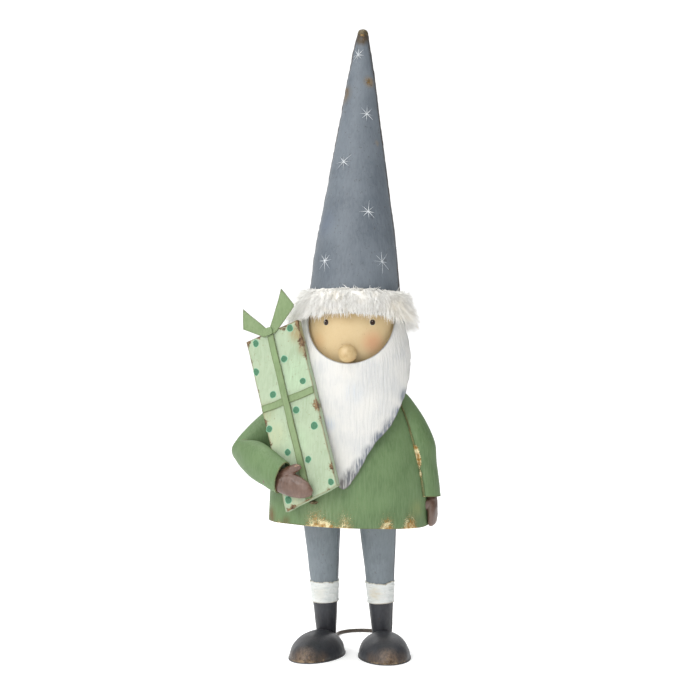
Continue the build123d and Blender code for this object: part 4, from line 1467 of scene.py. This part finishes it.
def ballPiece(name, middle, axes, radius, lumps, material, slot, node, seed):
    ball = bmesh.new()
    bmesh.ops.create_icosphere(ball, subdivisions=4, radius=1.0)
    for vertex in ball.verts:
        at = vertex.co.copy()
        size = radius * (1 + lumps * rough(at.x * 1.7, at.y * 1.7, at.z * 1.7, seed))
        vertex.co = middle + (axes[0] * at.x + axes[1] * at.y + axes[2] * at.z) * size * mm
    mesh = bpy.data.meshes.new(name)
    ball.to_mesh(mesh)
    ball.free()
    return finishPiece(newObject(name, mesh), material, slot, node)


makeGift()
ballPiece("giftBraze", onBody(-22.6, -46.2, 19.2), (axisRight * 1.1, axisBack * 0.9, axisUp * 0.5), 3.1, 0.3,
          brazeMaterial("giftBraze"), "braze", "gift_braze", 31)
print("gift box")


sleeves = {
    "left": ((23.8, 61, 0, 12.4, 14), (48, 56.5, 0, 13.4, 16), (66, 53.4, 0, 14, 16.5),
             (83, 47.4, 0, 12.2, 15),
             (95, 41.8, 0, 9.6, 12), (104, 37.6, 0, 6, 8), (108.5, 35.0, 0, 1.2, 1.8)),
    # stations of the right arm: middle, direction, half height, half thickness
    "right": (((-41, 1, 97), (-0.70, -0.10, -0.71), 9.4, 9.0),
              ((-62, -3, 76), (-0.67, -0.22, -0.72), 13.0, 12.4),
              ((-81.2, -14, 53.0), (-0.05, -0.74, -0.67), 15.4, 12.8),
              ((-67.5, -33, 47.6), (0.64, -0.70, -0.30), 15.2, 10.0),
              ((-46.6, -53, 37.7), (0.76, -0.58, -0.33), 13.2, 7.6)),
    "elbow": 2, "gap": 0.5, "dent": 0.4,
}


def ovalTube(name, rows, place, across=64, alongCount=60, capped=False, relief=None):
    # rows: key, middle x, middle y, half width, half depth
    low, high = rows[0][0], rows[-1][0]

    def point(u, v):
        key = low + (high - low) * v
        x, y, halfWidth, halfDepth = along(rows, key)
        turn = 2 * math.pi * u
        return place(x + max(halfWidth, 0.05) * math.cos(turn), y + max(halfDepth, 0.05) * math.sin(turn),
                     key)

    piece = gridSheet(name, across, alongCount, point, closed=True, relief=relief)
    if capped:
        capEnds(piece)
    return piece


def capEnds(piece):
    solid = bmesh.new()
    solid.from_mesh(piece.data)
    bmesh.ops.holes_fill(solid, edges=[e for e in solid.edges if e.is_boundary])
    bmesh.ops.recalc_face_normals(solid, faces=solid.faces[:])
    solid.to_mesh(piece.data)
    solid.free()


def oneSkin(name, parts, voxel=0.55, rounds=6):
    # separate lofts grown together into one skin
    joined = bmesh.new()
    for part in parts:
        joined.from_mesh(part.data)
        bpy.data.objects.remove(part)
    mesh = bpy.data.meshes.new(name)
    joined.to_mesh(mesh)
    joined.free()
    piece = newObject(name, mesh)
    skin = piece.modifiers.new("skin", "REMESH")
    skin.mode = "VOXEL"
    skin.voxel_size = voxel * mm
    even = piece.modifiers.new("even", "SMOOTH")
    even.factor = 0.5
    even.iterations = rounds
    return baked(piece)


def makeLeftArm():
    def place(x, y, w):
        x, y = offCoat(x, y, w, sleeves["gap"])
        return onBody(x, y, w)

    def relief(u, v, at):
        edge = 0.5 * rough(at.x / 6, at.y / 6, 0, 33) * (1 - v) ** 6
        return sleeves["dent"] * rough(at.x / 13, at.y / 13, at.z / 16, 32) - 0.1 + edge

    piece = ovalTube("leftSleeve", sleeves["left"], place, 96, 90, relief=relief)
    thicken(piece, 0.8)
    spots = placed(onBody, [
        ((50, -12, 32), 6, 0.5), ((50, -10, 88), 6, 0.4), ((72, -8, 30), 5, 0.4),
    ])
    seams = [onBody(*offCoat(61 - w * 0.16 - 13 + 3, -12.5, w, 1), w) for w in range(26, 90, 2)]
    spots += [(seams[index], 4.5, amount) for index,
              amount in ((18, 1.0), (16, 1.4), (14, 1.4), (12, 0.9), (8, 0.6))]
    markEdges(piece, seams, spots)
    blots = [(onBody(47, -13, 46), 9, tone(150, 140, 84), 0.5),
             (onBody(58, -12, 90), 12, tone(104, 134, 84), 0.5)]
    finishPiece(piece, paintMaterial("leftSleevePaint", coatPaint, blots), "coat_paint", "left_sleeve")

    palm = ((-0.6, 65.8, 0, 1.4, 2.6), (1, 65.8, -0.3, 3.6, 6.2), (5, 65.8, -0.5, 5.1, 8.6),
            (14, 65.9, -0.5, 5.5, 9.4),
            (27, 65.2, 0, 4.5, 6.8), (36, 63.8, 0, 4.0, 5.6))
    turn = math.radians(24)

    def thumbPlace(x, y, z):
        return onBody(61.2 + x * math.cos(turn) + z * math.sin(turn), -6.2 + y, 16.6 - x * math.sin(turn) + z
                      * math.cos(turn))

    hand = oneSkin("leftMitten", [
        ovalTube("leftPalm", palm, lambda x, y, w: onBody(*offCoat(x, y, w, 0.9), w), 40, 40, True),
        ovalTube("leftThumb", ((-7, 1.5, 2, 1.6, 2.2), (-4, 0, 0, 3, 3.4), (3, 1, 0, 3.4, 3.8),
                               (8, 3, 2, 3, 3.4)),
                 thumbPlace, 28, 24, True),
    ])
    finishMitten(hand, "left_mitten",
                 placed(onBody, [((58.5, -8.5, 13), 4, 0.9), ((60, -9, 22), 4, 0.7), ((70, -6, 28), 5, 0.4)]),
                 [onBody(58.5, -7.5, z) for z in range(9, 24)])


def finishMitten(piece, node, spots, rubbed):
    normals = [v.normal.copy() for v in piece.data.vertices]
    for vertex, normal in zip(piece.data.vertices, normals):
        at = vertex.co / mm
        vertex.co += normal * (0.3 * rough(at.x / 5, at.y / 5, at.z / 5, 41) + 0.12
                               * rough(at.x / 2, at.y / 2, at.z / 2, 42)) * mm
    piece.data.update()
    markEdges(piece, rubbed, spots, sharp=60)
    middle = sum((v.co for v in piece.data.vertices), Vector()) / len(piece.data.vertices)
    # painted light: each mitten is lighter just above its middle and darker below it, as light falls from
    # above
    blots = [(middle + axisUp * 0.006, 9, tone(124, 88, 70), 0.5),
             (middle - axisUp * 0.009, 9, tone(84, 58, 46), 0.5)]
    if node == "left_mitten":
        blots = [(middle, 34, tone(92, 68, 54), 0.6)]  # painted shade: the left mitten is darkened all over
    finishPiece(piece, paintMaterial(node.replace("_", "") + "Paint", mittenPaint, blots), "mitten_paint",
                node)


def makeRightArm():
    stations = []
    for middle, direction, halfHeight, halfThickness in sleeves["right"]:
        forward = Vector(direction).normalized()
        outer = Vector((forward.y, -forward.x, 0)).normalized()
        tall = outer.cross(forward)
        thick = forward.cross(tall)
        stations.append((*middle, *tall, *thick, halfHeight, halfThickness))
    elbow = sleeves["elbow"]
    halves = (stations[:elbow + 1], stations[elbow:])
    lengths = (0.58, 0.42)

    def point(u, v):
        part = 0 if v < lengths[0] else 1
        rows = [(index, *row) for index, row in enumerate(halves[part])]
        t = v / lengths[0] if part == 0 else (v - lengths[0]) / lengths[1]
        found = along(rows, t * (len(rows) - 1))
        middle = Vector(found[0:3])
        tall, thick = Vector(found[3:6]).normalized(), Vector(found[6:9]).normalized()
        turn = 2 * math.pi * u
        closing = min(1.0, 0.25 + v * 14)
        at = middle + tall * found[9] * closing * math.cos(turn)
        at = at + thick * found[10] * closing * math.sin(turn)
        x, y = offCoat(at.x, at.y, at.z, sleeves["gap"])
        return onBody(x, y, at.z)

    def relief(u, v, at):
        edge = 0.5 * rough(at.x / 6, at.z / 6, 0, 35) * v ** 8
        return sleeves["dent"] * rough(at.x / 13, at.y / 13, at.z / 13, 34) - 0.1 + edge

    piece = gridSheet("rightSleeve", 90, 110, point, closed=True, relief=relief)
    flipOutward(piece, onBody(-66, -18, 58))
    thicken(piece, 0.8)
    # the box's edge passes through a slot in the sleeve
    grow = 0.35
    block = [(-grow, -grow), (47.6 + grow, 7.7 - grow), (47.6 + grow, 141.3 + grow), (-grow, 138.6 + grow)]
    cutter = newObject("boxSlot",
                       meshOf("boxSlot", [onGift(u, v, z) for z in (-gift["depth"] - grow, 0.6) for u,
                                          v in block],
                                         [(3, 2, 1, 0), (4, 5, 6, 7), (0, 1, 5, 4), (1, 2, 6, 5),
                                          (2, 3, 7, 6), (3, 0, 4, 7)]))
    slot = piece.modifiers.new("slot", "BOOLEAN")
    slot.operation = "DIFFERENCE"
    slot.solver = "EXACT"
    slot.object = cutter
    baked(piece)
    bpy.data.objects.remove(cutter)
    spots = placed(onBody, [
        ((-62, -22, 76), 7, 1.0), ((-53, -22, 66), 5, 0.6), ((-84, -20, 40), 6, 0.4),
        ((-60, -46, 26), 7, 0.5), ((-56, -56, 40), 5, 0.6), ((-78, -4, 60), 6, 0.4),
    ])
    markEdges(piece, (), spots)
    blots = placed(onBody, [
        ((-58, -22, 72), 5, (120, 78, 44), 0.8), ((-62, -40, 56), 10, (136, 164, 116), 0.5),
        # the dark green in the crook of the elbow is painted shade in the crease
        ((-84, -12, 70), 12, (104, 136, 86), 0.5), ((-58, -28, 62), 6, (80, 104, 66), 0.6),
    ])
    finishPiece(piece, paintMaterial("rightSleevePaint", coatPaint, blots), "coat_paint", "right_sleeve")

    def handPlace(origin, turn):
        spin = math.radians(turn)

        def place(x, y, z):
            # the hand's own x points into the box, y across it and z along the fingers
            u = origin[0] + z * math.cos(spin) - y * math.sin(spin)
            v = origin[1] + z * math.sin(spin) + y * math.cos(spin)
            return onGift(u, v, origin[2] - x)
        return place

    hand = oneSkin("rightMitten", [
        ovalTube("rightPalm", ((-9, 0, 0, 3.2, 5.4), (-2, 0, 0, 3.5, 6.3), (5, 0, 0, 4.2, 8.2),
                               (15, 0, 0, 4.5, 9.0),
                               (25, 0, -0.4, 4.3, 7.6), (31, 0, -0.8, 3.2, 4.8), (34, 0, -1, 1.2, 2)),
                 handPlace((0, 25.6, 5.6), -31), 40, 48, True),
        ovalTube("rightThumb", ((-4, 0, 0, 2.4, 2.8), (5, 0, 0, 2.9, 3.4), (12, 0, 0, 2.7, 3.2),
                                (16, 0, -0.6, 1.1, 1.4)),
                 handPlace((9, 28.6, 6.4), 4), 28, 32, True),
    ])
    finishMitten(hand, "right_mitten",
                 placed(onGift, [((12, 32, 8), 6, 0.9), ((22, 29.5, 8), 4, 0.9), ((8, 31, 8), 5, 0.6)]),
                 [onGift(u, 31.6 + 0.04 * (u - 12), 7.5) for u in range(4, 24)])


makeLeftArm()
makeRightArm()
print("arms")


legs = {
    # top and ankle across the body, shoe's place and splay
    "left": (22.4, 24.6, 28.3, 10.0), "right": (-22.4, -20.5, -25.2, -10.0),
    "hipBack": 4.0, "hipLevel": 20.0, "hemHeight": 105.3, "ankleBack": 13.0, "ankleHeight": 16.0,
    "ankleRadius": 8.2,
    "taper": 0.08, "sockTop": 57.2, "bootTop": 41.2, "shoeBack": -9.0, "shoeWidth": 20.2, "shoeLength": 37.0,
    "shoeHeight": 19.8,
}


def makeLeg(side, seamTurn):
    topX, ankleX, shoeX, splay = legs[side]
    foot = onFloor(ankleX, legs["ankleBack"], legs["ankleHeight"])
    hip = Vector((footMiddle.x - plates["hemShift"] * mm + topX * mm, footMiddle.y + legs["hipBack"] * mm,
                  (legs["hemHeight"] + legs["hipLevel"]) * mm))
    rise = (hip - foot).normalized()
    right = (axisRight - rise * axisRight.dot(rise)).normalized()
    back = rise.cross(right)

    def tube(low, high, built, wander=0.0, seed=0):
        def place(u, v):
            turn = 2 * math.pi * u
            height = low + (high - low) * v
            height += wander * v ** 10 * (rough(math.cos(turn) * 2.5, math.sin(turn) * 2.5, 0, seed) * 1.6
                                          + rough(math.cos(turn) * 7, math.sin(turn) * 7, 0, seed) * 0.7)
            reach = height - legs["ankleHeight"]
            radius = legs["ankleRadius"] + legs["taper"] * reach + built
            return foot + rise * reach * mm + (right * math.cos(turn) + back * math.sin(turn)) * radius * mm
        return place

    def lap(u):
        # the sheet laps over itself along the seam
        fromSeam = (u - seamTurn) % 1.0
        return 0.4 * math.exp(-((min(fromSeam, 1 - fromSeam) * 60) ** 2)) + 0.3 * max(0.0, 1 - fromSeam * 9)

    def seamPoints(low, high, built):
        place = tube(low, high, built)
        return [place(seamTurn, k / 60) for k in range(61)]

    def bare(u, v, at):
        return lap(u) + 0.3 * rough(at.x / 10, at.y / 10, at.z / 14, 51) - 0.35

    low, high = legs["sockTop"] - 0.4, legs["hemHeight"] + legs["hipLevel"] - 0.2
    piece = gridSheet(side + "Leg", 84, 80, tube(low, high, 0), closed=True, relief=bare)
    thicken(piece, 0.8)
    markEdges(piece, seamPoints(low, high, 0),
              [(foot + rise * 0.06, 6, 0.3), (foot + rise * 0.09 - back * 0.012, 5, 0.3)])
    # a touch lighter at the front left of the leg, a painted highlight, and darker down its right side,
    # painted shade
    blots = [(foot + rise * 0.085 - back * 0.013 - right * 0.003, 10, tone(140, 148, 154), 0.5),
             (foot + rise * 0.055 + right * 0.011, 12, tone(112, 118, 122), 0.5)]
    finishPiece(piece, paintMaterial(side + "LegPaint", legPaint, blots), "leg_paint", side + "_leg")

    def impasto(u, v, at):
        strokes = (0.55 * abs(rough(at.x / 9 + at.z / 3.0, at.y / 9, at.z / 1.6, 52))
                   + 0.3 * rough(at.x / 2, at.y / 2, at.z / 2, 53))
        lip = 0.4 * math.exp(-((v / 0.08) ** 2))
        return strokes + lip + 0.4 * lap(u) - 0.1

    piece = gridSheet(side + "SockBand", 110, 48,
                      tube(legs["bootTop"] - 0.3, legs["sockTop"] + 0.3, 0.35, 1.0, 54 + len(side)),
                      closed=True, relief=impasto)
    thicken(piece, 1.0)
    markEdges(piece, (), [(foot + rise * 0.034 - right * 0.008, 6, 0.3)], sharp=80)
    cream = [(foot + rise * 0.033 - right * 0.004 - back * 0.011, 9, tone(236, 226, 200),
              0.6 if side == "left" else 0.2)]
    finishPiece(piece, paintMaterial(side + "SockPaint", sockPaint, cream), "sock_paint", side + "_sock_band")

    def shaft(u, v, at):
        return lap(u) * 0.8 + 0.22 * rough(at.x / 8, at.y / 8, at.z / 9, 55) - 0.2

    piece = gridSheet(side + "BootShaft", 84, 50, tube(8.0, legs["bootTop"] + 0.2, 0), closed=True,
                      relief=shaft)
    thicken(piece, 0.8)
    speck = 1.0 if side == "right" else 0.35
    markEdges(piece, seamPoints(8, 41, 0), [
        (foot + rise * 0.012 + right * 0.004 - back * 0.0095, 4, speck),
        (foot + rise * 0.004 - right * 0.001 - back * 0.009, 4, speck),
        (foot + rise * 0.024 + right * 0.001 - back * 0.010, 3, 0.4 * speck),
        (foot + rise * 0.018 + right * 0.006 - back * 0.008, 3, speck),
    ])
    finishPiece(piece, paintMaterial(side + "BootPaint", bootPaint), "boot_paint", side + "_boot_shaft")

    turn = math.radians(splay)

    def onShoe(x, y, z):
        return onFloor(shoeX + x * math.cos(turn) - y * math.sin(turn), legs["shoeBack"] + x * math.sin(turn)
                       + y * math.cos(turn), z)

    def dome(u, v):
        angle = 2 * math.pi * u
        climb = v * math.pi / 2
        closing = math.cos(climb) if v < 1 else 0.0
        height = 0.8 + (legs["shoeHeight"] - 0.8) * math.sin(climb) ** 0.96
        return onShoe(legs["shoeWidth"] * closing * math.cos(angle), legs["shoeLength"] * closing
                      * math.sin(angle), height)

    def beaten(u, v, at):
        edge = (1 - v) ** 3
        return (0.5 * rough(at.x / 13, at.y / 13, at.z / 13, 56) - 0.25) * smooth(v * 6) \
            + edge * 0.45 * rough(at.x / 3.5, at.y / 3.5, at.z / 5, 57) * smooth(v * 12)

    piece = gridSheet(side + "Shoe", 130, 60, dome, closed=True, relief=beaten)
    solid = bmesh.new()
    solid.from_mesh(piece.data)
    bmesh.ops.remove_doubles(solid, verts=solid.verts[:], dist=2e-5)
    solid.to_mesh(piece.data)
    solid.free()
    thicken(piece, 0.8)
    markEdges(piece, (), placed(onShoe,
                                [((0, -37, 3), 15, 0.8), ((-12, -31, 3), 11, 0.6), ((13, -30, 3), 11, 0.6),
                          ((0, -33, 9), 10, 0.4), ((-21, 0, 3), 9, 0.4), ((21, 0, 3), 9, 0.4),
                          ((0, 36, 3), 10, 0.5)]))
    # warm browns of rust at the toe; the slightly lighter grey over the top of the toe is a painted highlight
    glow = placed(onShoe, [((0, -36, 3), 15, (140, 118, 98), 0.8), ((-14, -28, 2), 10, (112, 94, 78), 0.6),
            ((14, -28, 2), 10, (112, 94, 78), 0.6), ((0, -20, 20), 14, (74, 70, 68), 0.4)])
    finishPiece(piece, paintMaterial(side + "ShoePaint", bootPaint, glow), "boot_paint", side + "_shoe")


makeLeg("right", 0.93)
makeLeg("left", 0.96)


def plainLook(look, **changes):
    return {key: value for key, value in look.items() if key != "wearReach"} | changes


def dress(node, material):
    piece = bpy.data.objects[node]
    piece.data.materials.clear()
    piece.data.materials.append(material)


wireLook = plainLook(bootPaint, base=tone(84, 76, 68), dark=tone(58, 54, 50), light=tone(116, 102, 88),
                     stroke=(1, 1, 1),
                     roughness=0.5, streak=900, streakStrength=0.6)
dress("stand_loop", paintMaterial("standWire", wireLook))
soleMaterial = paintMaterial("solePaint", plainLook(bootPaint))
for node in ("left_sole", "right_sole"):
    dress(node, soleMaterial)
plateMaterial = paintMaterial("platePaint", plainLook(coatPaint))
for node in ("shoulder_plate", "hip_plate"):
    dress(node, plateMaterial)
print("legs and stand")
